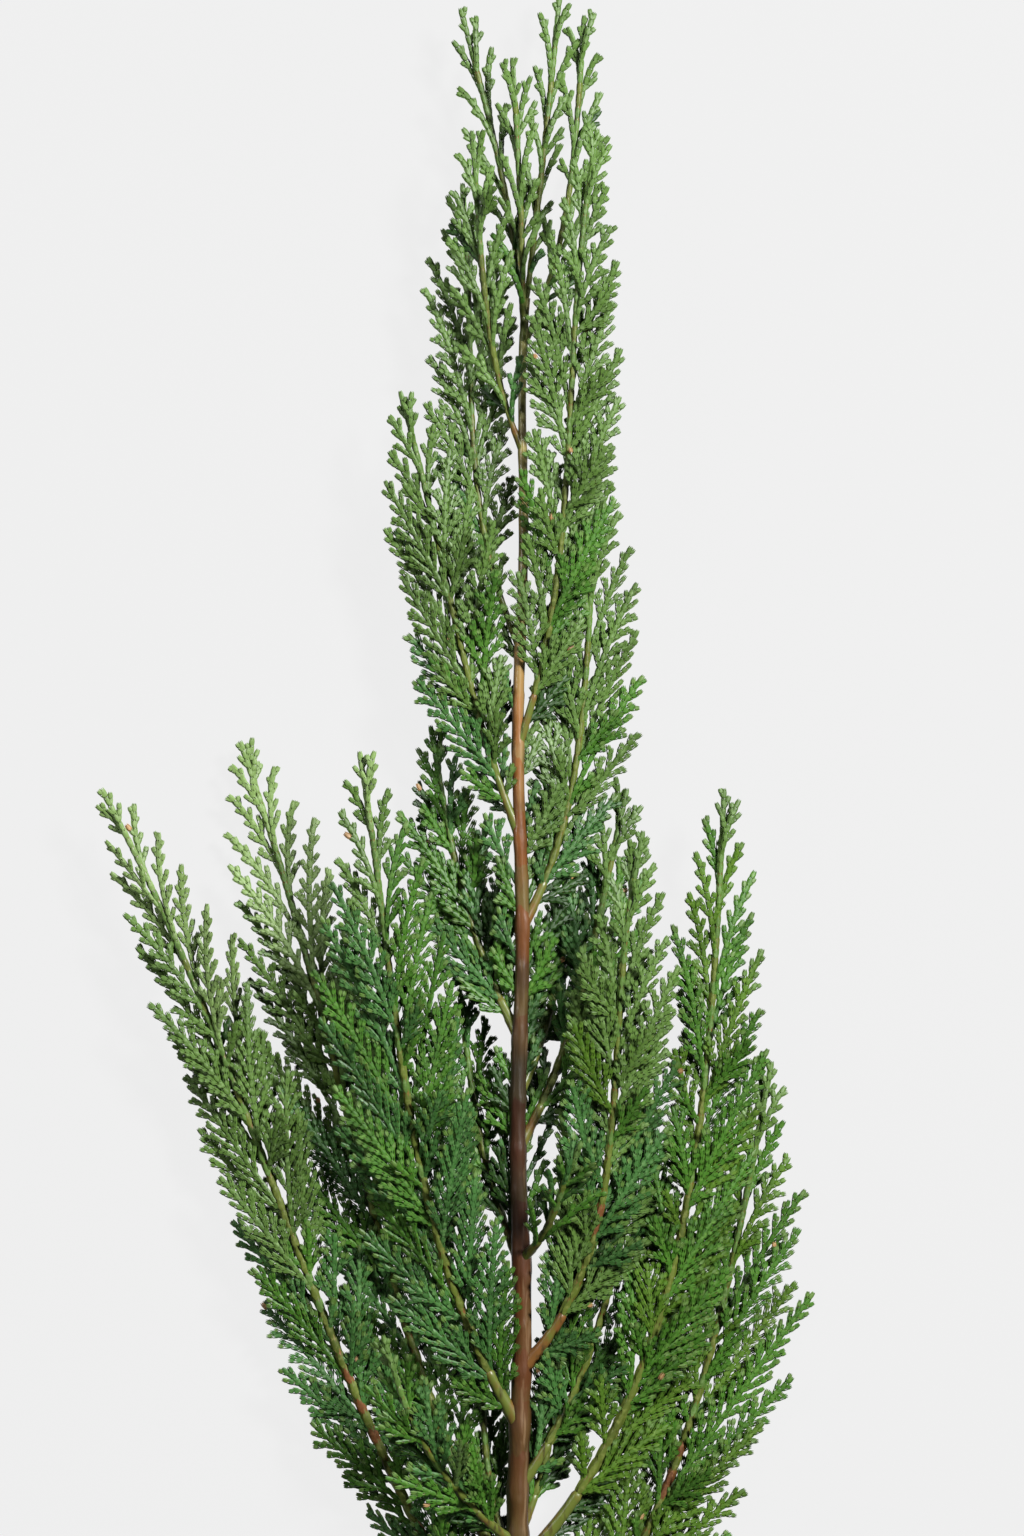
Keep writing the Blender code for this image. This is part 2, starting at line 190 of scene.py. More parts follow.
@dataclass(frozen=True)
class Stem:
    """The woody stem: a low arch that sways, leans at its top and thins from the cut up."""

    length: float = 287 * MM
    leader_top: float = 346 * MM
    cut_radius: float = 2.35 * MM
    end_radius: float = 0.62 * MM
    thinning: float = 0.82
    sway: float = 0.45 * MM
    sway_wave: float = 74 * MM
    lean: float = 1.6 * MM
    lean_power: float = 12
    cut_height: float = 2.4 * MM
    leader_height: float = 8.0 * MM
    arch: float = 8.0 * MM

    def point(self, up: float) -> Vector:
        """The stem's middle at this distance from the cut.

        Args:
            up: the distance from the cut.

        Returns:
            The point.
        """
        share = up / self.leader_top
        rise = (self.leader_height - self.cut_height) * share
        height = self.cut_height + rise + self.arch * math.sin(math.pi * share)
        sway = self.sway * math.sin(2 * math.pi * up / self.sway_wave)
        lean = self.lean * (up / self.length) ** self.lean_power
        return Vector((sway + lean, up, height))

    def radius(self, up: float) -> float:
        """The stem's radius at this distance from the cut."""
        share = min(max(up / self.length, 0.0), 1.0)
        return blend(self.cut_radius, self.end_radius, share**self.thinning)


@dataclass(frozen=True)
class Limb:
    """One side limb: where it starts and ends on the plant, in mm, its angles and its foliage."""

    name: str
    start: float
    side: float
    top: float
    height: float
    foot_angle: float
    tip_angle: float
    bare: float
    longest: float
    roll: float
    tone: Tone
    woody: float = 0.0
    reach: float = 0.95


LIMBS = [
    Limb("leader", 287, 7.6, 346, 9, 7, 5, 0, 9, 4, Tone.YOUNG, 0.0, 0.77),
    Limb("left_1", 278, -1.5, 332, 15, 0, 4, 5, 9, -6, Tone.YOUNG, 0.0, 0.77),
    Limb("left_2", 281, -11.3, 342, 10, 4, 15, 6, 11, 8, Tone.YOUNG, 0.0, 0.75),
    Limb("left_3", 258, -9.2, 318, 17, 24, 6, 8, 13, -8, Tone.YOUNG, 0.0, 0.82),
    Limb("left_4", 221, -11.2, 309, 8, 26, 7, 11, 16, 6, Tone.YOUNG, 0.0, 0.94),
    Limb("left_5", 185, -22.8, 269, 15, 23, 17, 12, 19, -7, Tone.AIRY),
    Limb("left_6", 147, -17.0, 206, 5, 30, 9, 8, 18, 5, Tone.DIM),
    Limb("left_7", 73, -30.2, 201, 22, 32, 10, 12, 25, -6, Tone.COOL),
    Limb("left_8", 38, -53.4, 203, 5.5, 28, 20, 18, 25, 5, Tone.PALE),
    Limb("left_9", 21, -79.2, 194, 13, 36, 29, 26, 22, -9, Tone.PALE, 0.8, 0.83),
    Limb("left_front", 50, -25.0, 92, 24, 50, 8, 12, 16, -4, Tone.MIXED),
    Limb("left_low", 44, -7.0, 88, 3.5, 26, -2, 8, 14, 4, Tone.DIM),
    Limb("left_back", 104, -11.5, 156, 4.5, 26, 6, 8, 16, 6, Tone.DIM),
    Limb("right_1", 278, 12.2, 341, 7.5, 27, 4, 8, 12, -5, Tone.YOUNG, 0.0, 0.81),
    Limb("right_2", 202, 14.8, 318, 20, 20, 12, 10, 19, 6, Tone.YOUNG, 0.0, 0.80),
    Limb("right_3", 168, 15.2, 253, 8, 30, 7, 9, 18, -6, Tone.AIRY),
    Limb("right_4", 126, 20.5, 194, 6, 32, 14, 9, 18, 5, Tone.MIXED),
    Limb("right_5", 84, 23.5, 186, 20, 44, 16, 13, 22, 7, Tone.AIRY, 0.7, 0.89),
    Limb("right_6", 61, 24.7, 135, 9, 38, 12, 10, 20, -6, Tone.DIM),
    Limb("right_7", 46, 38.6, 194, 14, 44, 3, 18, 22, 6, Tone.WARM, 0.0, 0.85),
    Limb("right_8", 18, 48.0, 142, 5, 46, 11, 24, 30, -5, Tone.WARM, 1.0, 0.93),
    Limb("right_front", 105, 13.0, 128, 27, 50, 44, 7, 12, 8, Tone.MIXED),
    Limb("right_low", 52, 8.0, 96, 3.5, 28, 2, 8, 14, -4, Tone.DIM),
    Limb("right_back", 136, 10.5, 178, 4.5, 28, 8, 10, 16, 5, Tone.DIM),
]


@dataclass(frozen=True)
class Spray:
    """One short side shoot of a limb, flat in its own plane."""

    start: Vector
    heading: Vector
    up: Vector
    length: float
    side: int
    share: float
    terminal: bool = False

    @property
    def matrix(self) -> Matrix:
        """The place and turn of the spray's own plane.

        Returns:
            The matrix from that plane to the plant.
        """
        across = self.up.cross(self.heading)
        turned = Matrix((self.heading, across, self.up)).transposed().to_4x4()
        return Matrix.Translation(self.start) @ turned


@dataclass(frozen=True)
class LimbRule:
    """How a limb leaves the stem, thins to its tip and curves between its two angles."""

    steps: int = 40
    radius_per_length: float = 0.004
    tip_radius: float = 0.6 * MM
    taper_power: float = 0.8
    foot_share: float = 0.62
    early_rise: float = 0.6
    slim_at_foot: float = 0.90
    slim_at_tip: float = 0.88
    foot_swelling: float = 0.32
    swelling_reach: float = 12 * MM
    least_drawn: float = 0.54 * MM
    # The bark on its bare foot
    sunk: float = 1.2 * MM
    ring_spacing: float = 0.5 * MM
    least_rings: int = 8
    bevel_resolution: int = 6
    flare: float = 0.35
    flare_reach: float = 2.2 * MM
    closed_share: float = 0.3
    closing_reach: float = 1.7 * MM
    node_spacing: float = 4.5 * MM
    bark_age: float = 0.35
    woody_age: float = 0.6

    def path(self, limb: Limb, stem: Stem) -> Path:
        """The limb's middle line, one cubic curve from the stem's middle to the limb's tip.

        Args:
            limb: the limb.
            stem: the stem that carries it.

        Returns:
            The line.
        """
        foot = stem.point(limb.start * MM)
        tip = Vector((limb.side, limb.top, limb.height)) * MM
        outward = math.copysign(1, limb.side)
        third = (tip - foot).length / 3
        foot_turn = math.radians(limb.foot_angle) * outward
        tip_turn = math.radians(limb.tip_angle) * outward
        first = foot + third * Vector((math.sin(foot_turn), math.cos(foot_turn), 0))
        second = tip - third * Vector((math.sin(tip_turn), math.cos(tip_turn), 0))
        first.z = blend(foot.z, tip.z, self.early_rise)
        second.z = tip.z
        points = []
        for i in range(self.steps + 1):
            a, b, c, d = cubic_shares(i / self.steps)
            points.append(foot * a + first * b + second * c + tip * d)
        return Path(points)

    def radius(self, limb: Limb, stem: Stem, share: float) -> float:
        """The limb's radius at this share of its length.

        Args:
            limb: the limb.
            stem: the stem that carries it.
            share: how far along the limb, from 0 to 1.

        Returns:
            The radius.
        """
        by_length = self.tip_radius + self.radius_per_length * self.straight(limb, stem)
        thick = min(by_length, self.foot_share * stem.radius(limb.start * MM))
        return blend(thick, self.tip_radius, min(max(share, 0.0), 1.0) ** self.taper_power)

    def straight(self, limb: Limb, stem: Stem) -> float:
        """The straight distance from the limb's foot to its tip."""
        tip = Vector((limb.side, limb.top, limb.height)) * MM
        return (tip - stem.point(limb.start * MM)).length

    def drawn_radius(self, limb: Limb, stem: Stem, share: float) -> float:
        """The bark's radius here; the leaf bases on it make up the solid's.

        Args:
            limb: the limb.
            stem: the stem that carries it.
            share: how far along the limb, from 0 to 1.

        Returns:
            The radius.
        """
        slim = blend(self.slim_at_foot, self.slim_at_tip, share)
        distance = share * self.straight(limb, stem)
        slim += self.foot_swelling * math.exp(-distance / self.swelling_reach)
        return max(self.radius(limb, stem, share) * slim, self.least_drawn)


@dataclass(frozen=True)
class SprayRule:
    """The seeded rule that sets a limb's sprays, and the toothed outline that each one fills."""

    spacing: float = 4.7 * MM
    shortest: float = 4.0 * MM
    growth: float = 0.38
    foot_shortening: float = 0.25
    foot_stretch: float = 0.25
    last: float = 2.7 * MM
    angle_at_foot: float = math.radians(37.5)
    angle_at_tip: float = math.radians(30.5)
    tilt: float = math.radians(9)
    twist: float = math.radians(11)
    spacing_variation: float = 0.12
    length_variation: float = 0.14
    angle_variation: float = 0.12
    shares: tuple[float, ...] = (1.0, 0.72, 0.5)
    bow: float = 0.07
    tip_spray: float = 9 * MM
    # The outline and its teeth
    twig_half_width: float = 0.8 * MM
    stalk_half_width: float = 0.64 * MM
    tooth_spacing: float = 12 * MM
    tooth_share: float = 0.23
    tooth_longest: float = 3.1 * MM
    notch_share: float = 0.6
    tooth_slant: float = 1.3
    tooth_at_root: float = 0.6
    tooth_rise: float = 2.0
    tooth_taper_power: float = 0.6
    tooth_leads: tuple[float, float] = (0.15, 0.6)
    root_sink: float = 0.35 * MM
    root_half_width: float = 0.4 * MM
    # The room that it needs
    gap: float = 0.3 * MM
    clearance: float = 1.6 * MM
    beside_limb: float = 1.1 * MM
    sample_step: float = 1.2 * MM
    lowest: float = 0.75 * MM
    highest: float = 28.3 * MM

    def lifted(self, direction: Vector, start: Vector, length: float) -> Vector:
        """The direction, turned up where its far end would go under the table.

        Args:
            direction: where a shoot heads.
            start: where it starts.
            length: its length.

        Returns:
            The direction, of length 1.
        """
        least = (self.lowest - start.z) / length
        if direction.z >= least:
            return direction
        flat = Vector((direction.x, direction.y, 0)).normalized()
        return (flat * math.sqrt(1 - least * least) + Vector((0, 0, least))).normalized()

    def spray_length(self, limb: Limb, from_tip: float, share: float) -> float:
        """Sprays are short at the limb's tip, longest in its middle and shorter at its foot.

        Args:
            limb: the limb that carries the spray.
            from_tip: the distance from the limb's tip.
            share: how far along the leafy part of the limb, from 0 to 1.

        Returns:
            The spray's length.
        """
        grown = self.shortest + self.growth * from_tip
        shortened = self.foot_shortening * max(0.0, 1 - share / self.foot_stretch)
        return min(grown, limb.longest * MM * (1 - shortened))

    def sprays(self, limb: Limb, path: Path) -> list[Spray]:
        """Where the sprays of a limb start, how they lie and how long they would be.

        Args:
            limb: the limb that carries them.
            path: the limb's middle line.

        Returns:
            The sprays from the limb's foot to its tip, the one that ends it last.
        """
        draw = random.Random(limb.name)
        bare = limb.bare * MM
        roll = math.radians(limb.roll)
        distance = bare + self.spacing / 2
        side = 1 if limb.side < 0 else -1
        found = []
        while distance < path.total - self.last:
            wide, far, tilt, twist, step = (draw.uniform(-1, 1) for _ in range(5))
            start, direction = path.at(distance)
            share = (distance - bare) / (path.total - bare)
            length = self.spray_length(limb, path.total - distance, share)
            length *= 1 + self.length_variation * far
            angle = blend(self.angle_at_foot, self.angle_at_tip, share)
            angle *= 1 + self.angle_variation * wide
            heading, normal = parted(direction, roll, side, angle, self.tilt * tilt)
            heading = self.lifted(heading, start, length)
            up = Matrix.Rotation(self.twist * twist, 3, heading) @ squared(normal, heading)
            found.append(Spray(start, heading, up, length, side, share))
            distance += self.spacing * (1 + self.spacing_variation * step)
            side = -side
        start, direction = path.at(path.total - self.tip_spray)
        _, normal = flat_frame(direction, roll)
        found.append(Spray(start, direction, normal, self.tip_spray, 1, 1.0, terminal=True))
        return found

    def outline(self, length: float, side: int) -> list[tuple[float, float]]:
        """The toothed outline that a spray of this length fills, its root at the origin.

        Args:
            length: the spray's length.
            side: its side of the limb, 1 or -1.

        Returns:
            The outline's corners in the spray's own plane, in order.
        """
        count = max(1, round(length / self.tooth_spacing))
        step = length / (count + self.tooth_leads[1])
        rows = []
        for lead in self.tooth_leads:
            row = []
            for i in range(count):
                notch = (i + lead) * step
                share = notch / length
                rise = min(1.0, self.tooth_at_root + self.tooth_rise * share)
                reach = min(length * self.tooth_share, self.tooth_longest) * rise
                reach *= (1 - share) ** self.tooth_taper_power
                if i:
                    row.append((notch, self.stalk_half_width + reach * self.notch_share))
                row.append((notch + reach * self.tooth_slant, self.twig_half_width + reach))
            rows.append([place for place in row if place[0] < length])
        right, left = rows
        outline = [(-self.root_sink, self.root_half_width), *right, (length, 0.0)]
        outline += [(x, -y) for x, y in reversed(left)]
        outline += [(-self.root_sink, -self.root_half_width)]
        return [(x, y * side + side * self.bow * x * x / length) for x, y in outline]

    def samples(self, spray: Spray, length: float) -> list[Vector]:
        """Points spread over a spray's outline, for the tests that keep masses apart.

        Args:
            spray: the spray.
            length: the length that is tested.

        Returns:
            The points.
        """
        points = []
        for x, y in self.outline(length, spray.side):
            spine = Vector((max(0.0, min(x - abs(y), length)), 0, 0))
            corner = Vector((x, y, 0))
            count = max(1, round((corner - spine).length / self.sample_step))
            points += [spine.lerp(corner, i / count) for i in range(count + 1)]
        count = max(1, round(length / self.sample_step))
        points += [Vector((length * i / count, 0, 0)) for i in range(count + 1)]
        matrix = spray.matrix
        return [matrix @ p for p in points]


def flat_frame(direction: Vector, roll: float) -> tuple[Vector, Vector]:
    """The side and the normal of a frond that lies flat, rolled about its own direction.

    Args:
        direction: where the frond heads, of length 1.
        roll: its roll, in radians.

    Returns:
        The side and the normal, of length 1.
    """
    normal = (Vector((0, 0, 1)) - direction * direction.z).normalized()
    normal = Matrix.Rotation(roll, 3, direction) @ normal
    return direction.cross(normal), normal


def parted(
    direction: Vector, roll: float, side: int, angle: float, rise: float
) -> tuple[Vector, Vector]:
    """Turns a shoot away from the axis of a flat frond.

    Args:
        direction: the axis's direction, of length 1.
        roll: the frond's roll.
        side: the shoot's side of the axis, 1 or -1.
        angle: the angle between them in the frond's plane.
        rise: the shoot's angle out of that plane.

    Returns:
        The shoot's direction and the frond's normal.
    """
    across, normal = flat_frame(direction, roll)
    heading = direction * math.cos(angle) + across * (side * math.sin(angle))
    return heading * math.cos(rise) + normal * math.sin(rise), normal


@dataclass
class HeldSpace:
    """Points that a body holds, each with how much room it needs."""

    points: list[Vector]
    reaches: list[float]
    tree: kdtree.KDTree = field(init=False, repr=False)

    def __post_init__(self) -> None:
        """Builds the search tree over the points."""
        self.tree = search_tree(self.points)

    def crowds(self, points: list[Vector]) -> bool:
        """Whether any of these points lies within the room of a held one.

        Args:
            points: the points to test.

        Returns:
            Whether one does.
        """
        for point in points:
            _, i, distance = self.tree.find(point)
            if distance < self.reaches[i]:
                return True
        return False


@dataclass(frozen=True)
class Scales:
    """How scale leaves cover an axis: the length of a whorl, and its width at foot and tip."""

    step: float
    foot_width: float
    tip_width: float
    flatness: float = 0.66
    small: bool = False


LEADING_SCALES = Scales(1.7 * MM, 1.02 * MM, 1.26 * MM, 0.74)
SPRAY_SCALES = Scales(1.5 * MM, 1.12 * MM, 1.14 * MM)
YOUNG_SPRAY_SCALES = Scales(1.6 * MM, 1.02 * MM, 1.30 * MM, 0.72)
TWIG_SCALES = Scales(1.25 * MM, 1.06 * MM, 1.12 * MM, small=True)
YOUNG_TWIG_SCALES = Scales(1.2 * MM, 1.02 * MM, 1.30 * MM, 0.70)
LOBE_SCALES = Scales(1.15 * MM, 1.00 * MM, 1.08 * MM, small=True)


@dataclass(frozen=True)
class TwigRule:
    """How a spray branches on: the twigs on its axis and the lobes on each twig."""

    # A spray's own line
    back_at_foot: float = 0.42
    back_at_tip: float = 0.95
    first_root: float = 0.55
    parting: float = math.radians(8)
    opening: float = math.radians(3)
    opening_when_young: float = math.radians(14)
    layer: float = 1.5 * MM
    layer_cycle: int = 4
    hugging: float = 0.3
    hugging_gain: float = 0.7
    shallow_turn: float = 0.4
    late_lift: float = 0.7
    line_steps: int = 10
    line_tests: int = 16
    line_room: float = 0.70 * MM
    outer_from: float = 0.4
    held_from: float = 0.15
    held_steps: int = 12
    bowed_steps: int = 6
    tip_twigs_from: float = 2.6
    inward: float = math.radians(2)
    inward_when_young: float = math.radians(1)
    # The twigs on it
    first_twig: float = 1.7 * MM
    bare_when_strong: float = 0.27
    bare_when_slender: float = 0.58
    twig_spacing: float = 1.6 * MM
    twig_spacing_young: float = 1.8 * MM
    twig_spacing_slender: float = 2.9 * MM
    last_twig: float = 1.3 * MM
    twig_share: float = 0.42
    twig_longest: float = 8.8 * MM
    twig_longest_young: float = 4.0 * MM
    twig_longest_slender: float = 2.6 * MM
    twig_shortest: float = 1.9 * MM
    twig_at_root: float = 0.6
    twig_rise: float = 2.2
    twig_taper: float = 0.5
    twig_angle: float = math.radians(33)
    twig_angle_young: float = math.radians(37)
    twig_angle_spread: float = math.radians(5)
    twig_angle_loss: float = math.radians(4)
    twig_bow: float = 0.10
    twig_steps: int = 3
    twig_tests: int = 4
    # The lobes on a twig
    lobed_from: float = 3.4 * MM
    first_lobe: float = 1.6 * MM
    lobe_spacing: float = 1.3 * MM
    last_lobe: float = 1.3 * MM
    lobe_share: float = 0.42
    lobe_least: float = 1.8 * MM
    lobe_longest: float = 4.4 * MM
    back_lobes: float = 0.9
    back_shortening: float = 0.85
    lobe_angle: float = math.radians(24)
    lobe_bow: float = 0.06
    lobe_room: float = 0.88 * MM
    lobe_step: float = 0.7 * MM
    lobe_steps: int = 2
    lobe_tests: int = 3
    lobe_shares: tuple[float, ...] = (1.0, 0.72, 0.52)
    # All three of them
    angle_variation: float = 0.10
    length_variation: float = 0.14
    spacing_variation: float = 0.14
    tilt: float = math.radians(4)
    curl: float = 0.05
    width_variation: Span = (0.94, 1.06)
    core_share: float = 0.45
    core_end: float = 0.5
    core_sides: int = 3
    dry_chance: float = 0.003
    lighter_end: float = 0.45
    tone_drift: float = 0.07
    twig_room: float = 0.58 * MM
    limb_room: float = 0.40 * MM
    turn: float = math.radians(15)
    young_from: float = 0.52
    young_at: float = 0.92
    young_looks_from: float = 0.5
    slender: float = 10
    strong: float = 20.5
    shares: tuple[float, ...] = (1.0, 0.65)

    def weakness(self, limb: Limb) -> float:
        """How slender a limb is: 0 for a strong one, 1 for those near the leader."""
        return min(max((self.strong - limb.longest) / (self.strong - self.slender), 0.0), 1.0)

    def youth(self, limb: Limb, place: float) -> float:
        """How young growth is: 0 inside a strong limb, 1 at a limb's end and on a slender one."""
        outer = (place - self.young_from) / (self.young_at - self.young_from)
        return min(max(outer, self.weakness(limb)), 1.0)

    def by_weakness(self, limb: Limb, strong: float, slender: float) -> float:
        """A value between a strong limb's and a slender one's."""
        return blend(strong, slender, self.weakness(limb))

    def bare_share(self, limb: Limb, youth: float) -> float:
        """The share of a spray's axis that has no twigs, longest on slender limbs."""
        return self.by_weakness(limb, self.bare_when_strong, self.bare_when_slender) * youth

    def twig_length(self, length: float, share: float, limb: Limb, youth: float) -> float:
        """Twigs lengthen quickly from the spray's root and shorten to its tip.

        Args:
            length: the spray's length.
            share: the twig's place on the spray.
            limb: the limb that carries the spray.
            youth: how young the spray is.

        Returns:
            The twig's length.
        """
        young = self.by_weakness(limb, self.twig_longest_young, self.twig_longest_slender)
        longest = blend(self.twig_longest, young, youth)
        rise = min(1.0, self.twig_at_root + self.twig_rise * share)
        grown = min(length * self.twig_share, longest) * rise * (1 - share) ** self.twig_taper
        return max(grown, self.twig_shortest)


@dataclass(frozen=True)
class InnerRule:
    """The short shoots that fill a limb's inside, mostly below its sprays and in their shade, many
    in the painted shade colour.
    """

    spacing: float = 1.8 * MM
    slender_spacing: float = 9.0 * MM
    first_share: float = 0.16
    last_share: float = 0.74
    within: float = 0.85
    close_reach: float = 26 * MM
    close_spacing: float = 1.1 * MM
    shortest: float = 6.0 * MM
    longest: float = 16.0 * MM
    # How often a shoot below the sprays gets the painted shade colour, less often towards the
    # limb's tip
    painted_shade_chance: float = 0.75
    angle: float = math.radians(34)
    least_rise: float = math.radians(6)
    most_rise: float = math.radians(24)
    below: float = 0.7
    twist: float = math.radians(15)
    room: float = 0.65 * MM
    shares: tuple[float, ...] = (1.0, 0.7, 0.5)
    full_limb: float = 16
    angle_variation: Span = (0.75, 1.25)
    spacing_variation: Span = (0.8, 1.2)
    tested_from: float = 0.3
    tests: int = 8
    # Those that leave the stem itself
    beside_from: float = 90 * MM
    beside_until: float = 200 * MM
    beside_count: int = 7
    beside_spacing: float = 5 * MM
    beside_shortest: float = 9 * MM
    beside_longest: float = 17 * MM
    beside_angle: float = math.radians(27)
    beside_rise: float = math.radians(16)
    beside_first: float = 0.5
    beside_variation: Span = (0.7, 1.3)
    beside_rises: Span = (-1, 0.2)
    beside_share: float = 0.3
    beside_tested_from: float = 0.5


@dataclass(frozen=True)
class AxisRule:
    """How long scale leaves cover a limb's own axis round its core, and how they are coloured."""

    core_step: float = 2.4 * MM
    least_steps: int = 6
    core_share: float = 0.78
    core_sides: int = 8
    leaf_mm_at_foot: float = 3.6
    leaf_mm_loss: float = 1.9
    leaf_variation: Span = (0.9, 1.1)
    overlap: float = 1.05
    beyond_bark: float = 0.10 * MM
    flatness: float = 0.92
    woody_at_foot: float = 0.16
    woody_loss: float = 2.2
    green_at_foot: float = 1.7
    green_loss: float = 2.0
    end_from: float = 0.88


@dataclass
class Thicket:
    """The places that grown twigs hold, in cells, so that later ones keep clear of them."""

    cell: float = 1 * MM
    cells: dict[tuple[int, int, int], list[tuple[Vector, str]]] = field(default_factory=dict)

    def _key(self, point: Vector) -> tuple[int, int, int]:
        """The cell of a point."""
        return tuple(math.floor(c / self.cell) for c in point)

    def hold(self, points: list[Vector], owner: str) -> None:
        """Notes these points as held by one spray or limb."""
        for point in points:
            self.cells.setdefault(self._key(point), []).append((point, owner))

    def crowds(self, points: list[Vector], reach: float, owner: str) -> bool:
        """Whether something else's point lies nearer than reach, which is under a cell's side.

        Args:
            points: the points to test.
            reach: how near is too near.
            owner: whose own points don't count.

        Returns:
            Whether one lies nearer.
        """
        for point in points:
            x, y, z = self._key(point)
            for i in (x - 1, x, x + 1):
                for j in (y - 1, y, y + 1):
                    for k in (z - 1, z, z + 1):
                        for other, holder in self.cells.get((i, j, k), ()):
                            if holder != owner and (other - point).length < reach:
                                return True
        return False


@dataclass(frozen=True)
class LeafShape:
    """Half a scale leaf along +X, as points and the triangles between them."""

    points: tuple[Triple, ...]
    faces: tuple[tuple[int, int, int], ...]


SIDE_LEAF = LeafShape(
    (
        (-0.12, 0.62, 0.0),
        (0.20, 0.88, 0.0),
        (0.60, 1.00, 0.0),
        (0.93, 1.00, 0.0),
        (1.14, 0.84, 0.0),
        (0.12, 0.32, 0.70),
        (0.60, 0.44, 0.78),
        (0.98, 0.54, 0.50),
    ),
    ((0, 1, 5), (1, 6, 5), (1, 2, 6), (2, 7, 6), (2, 3, 7), (3, 4, 7)),
)
FLAT_LEAF = LeafShape(
    (
        (-0.05, 0.0, 0.80),
        (0.42, -0.60, 0.72),
        (0.42, 0.60, 0.72),
        (0.50, 0.0, 0.98),
        (1.10, 0.0, 0.88),
        (0.88, -0.38, 0.76),
        (0.88, 0.38, 0.76),
    ),
    ((0, 1, 3), (0, 3, 2), (1, 5, 3), (3, 5, 4), (3, 4, 6), (2, 3, 6)),
)
SMALL_SIDE_LEAF = LeafShape(
    (
        (-0.12, 0.74, 0.0),
        (0.50, 1.00, 0.0),
        (1.10, 0.90, 0.0),
        (0.10, 0.42, 0.74),
        (0.90, 0.56, 0.66),
    ),
    ((0, 1, 3), (1, 4, 3), (1, 2, 4)),
)
SMALL_FLAT_LEAF = LeafShape(
    ((-0.05, 0.0, 0.80), (0.50, -0.58, 0.74), (0.50, 0.58, 0.74), (1.08, 0.0, 0.90)),
    ((0, 1, 3), (0, 3, 2)),
)


class WhorlShape:
    """One whorl of scale leaves, along +X: two folded side leaves and two flat ones between."""

    tip_closing = 0.34

    def __init__(self, small: bool, tip: bool) -> None:
        """Mirrors the leaves into a whorl.

        Args:
            small: whether it is a lobe's, with fewer faces.
            tip: whether it ends a twig, its side leaves bent together.
        """
        self.points: list[Triple] = []
        self.faces: list[tuple[int, int, int]] = []
        for face in (1, -1):
            for side in (1, -1):
                self._add(SMALL_SIDE_LEAF if small else SIDE_LEAF, side, face, tip)
            self._add(SMALL_FLAT_LEAF if small else FLAT_LEAF, 1, face, tip)

    def _add(self, leaf: LeafShape, side: int, face: int, tip: bool) -> None:
        """Adds one half leaf, mirrored to its side and its face of the twig.

        Args:
            leaf: half a leaf.
            side: its side of the twig, 1 or -1.
            face: 1 for the twig's upper face, -1 for its lower.
            tip: whether its end bends inward.
        """
        first = len(self.points)
        for x, y, z in leaf.points:
            closing = 1 - self.tip_closing * max(0.0, x) ** 2 if tip else 1.0
            self.points.append((x, y * side * closing, z * face * closing))
        for corners in leaf.faces:
            turned = corners if side * face > 0 else corners[::-1]
            self.faces.append(tuple(first + corner for corner in turned))


# The columns of a whorl's row
PLACE, AHEAD, UP, SIZE = slice(0, 3), slice(3, 6), slice(6, 9), slice(9, 12)
TINT, KIND = 12, 13

# The kinds of whorl: whether it is small, and whether it ends its twig
WHORL_KINDS = ((False, False), (False, True), (True, False), (True, True))


@dataclass
class LeafCover:
    """The scale leaves of one limb, gathered as rows of numbers and built as one mesh."""

    rows: list[tuple[float, ...]] = field(default_factory=list)

    def add(
        self,
        place: Vector,
        ahead: Vector,
        up: Vector,
        size: Triple,
        tint: Tint,
        small: bool = False,
        tip: bool = False,
    ) -> None:
        """Adds one whorl.

        Args:
            place: where it starts.
            ahead: its direction.
            up: the upright of its flat side.
            size: its length, width and thickness.
            tint: its colour.
            small: whether it has a lobe's few faces.
            tip: whether it ends its twig.
        """
        self.rows.append((*place, *ahead, *up, *size, int(tint), WHORL_KINDS.index((small, tip))))

    def build(
        self, name: str, origin: Vector, finishes: list[bpy.types.Material]
    ) -> bpy.types.Object:
        """Builds every whorl into one mesh.

        Args:
            name: the piece's name.
            origin: where the plant's own origin lies in the frame.
            finishes: the leaf materials, in the order of Tint.

        Returns:
            The piece, in place.
        """
        rows = np.array(self.rows)
        points, faces, slots = [], [], []
        count = 0
        for kind, (small, tip) in enumerate(WHORL_KINDS):
            chosen = rows[rows[:, KIND] == kind]
            if not len(chosen):
                continue
            shape = WhorlShape(small, tip)
            local = np.array(shape.points)
            place, ahead, up, size = (chosen[:, part] for part in (PLACE, AHEAD, UP, SIZE))
            across = np.cross(up, ahead)
            world = place[:, None, :] + local[None, :, 0:1] * (ahead * size[:, 0:1])[:, None, :]
            world += local[None, :, 1:2] * (across * size[:, 1:2] / 2)[:, None, :]
            world += local[None, :, 2:3] * (up * size[:, 2:3] / 2)[:, None, :]
            firsts = np.arange(len(chosen)) * len(local)
            corners = np.array(shape.faces)[None] + firsts[:, None, None]
            points.append(world.reshape(-1, 3))
            faces.append(corners.reshape(-1, 3) + count)
            slots.append(np.repeat(chosen[:, TINT].astype(int), len(shape.faces)))
            count += len(chosen) * len(local)
        moved = np.concatenate(points) + np.array(origin)
        return triangle_mesh(name, moved, np.concatenate(faces), np.concatenate(slots), finishes)


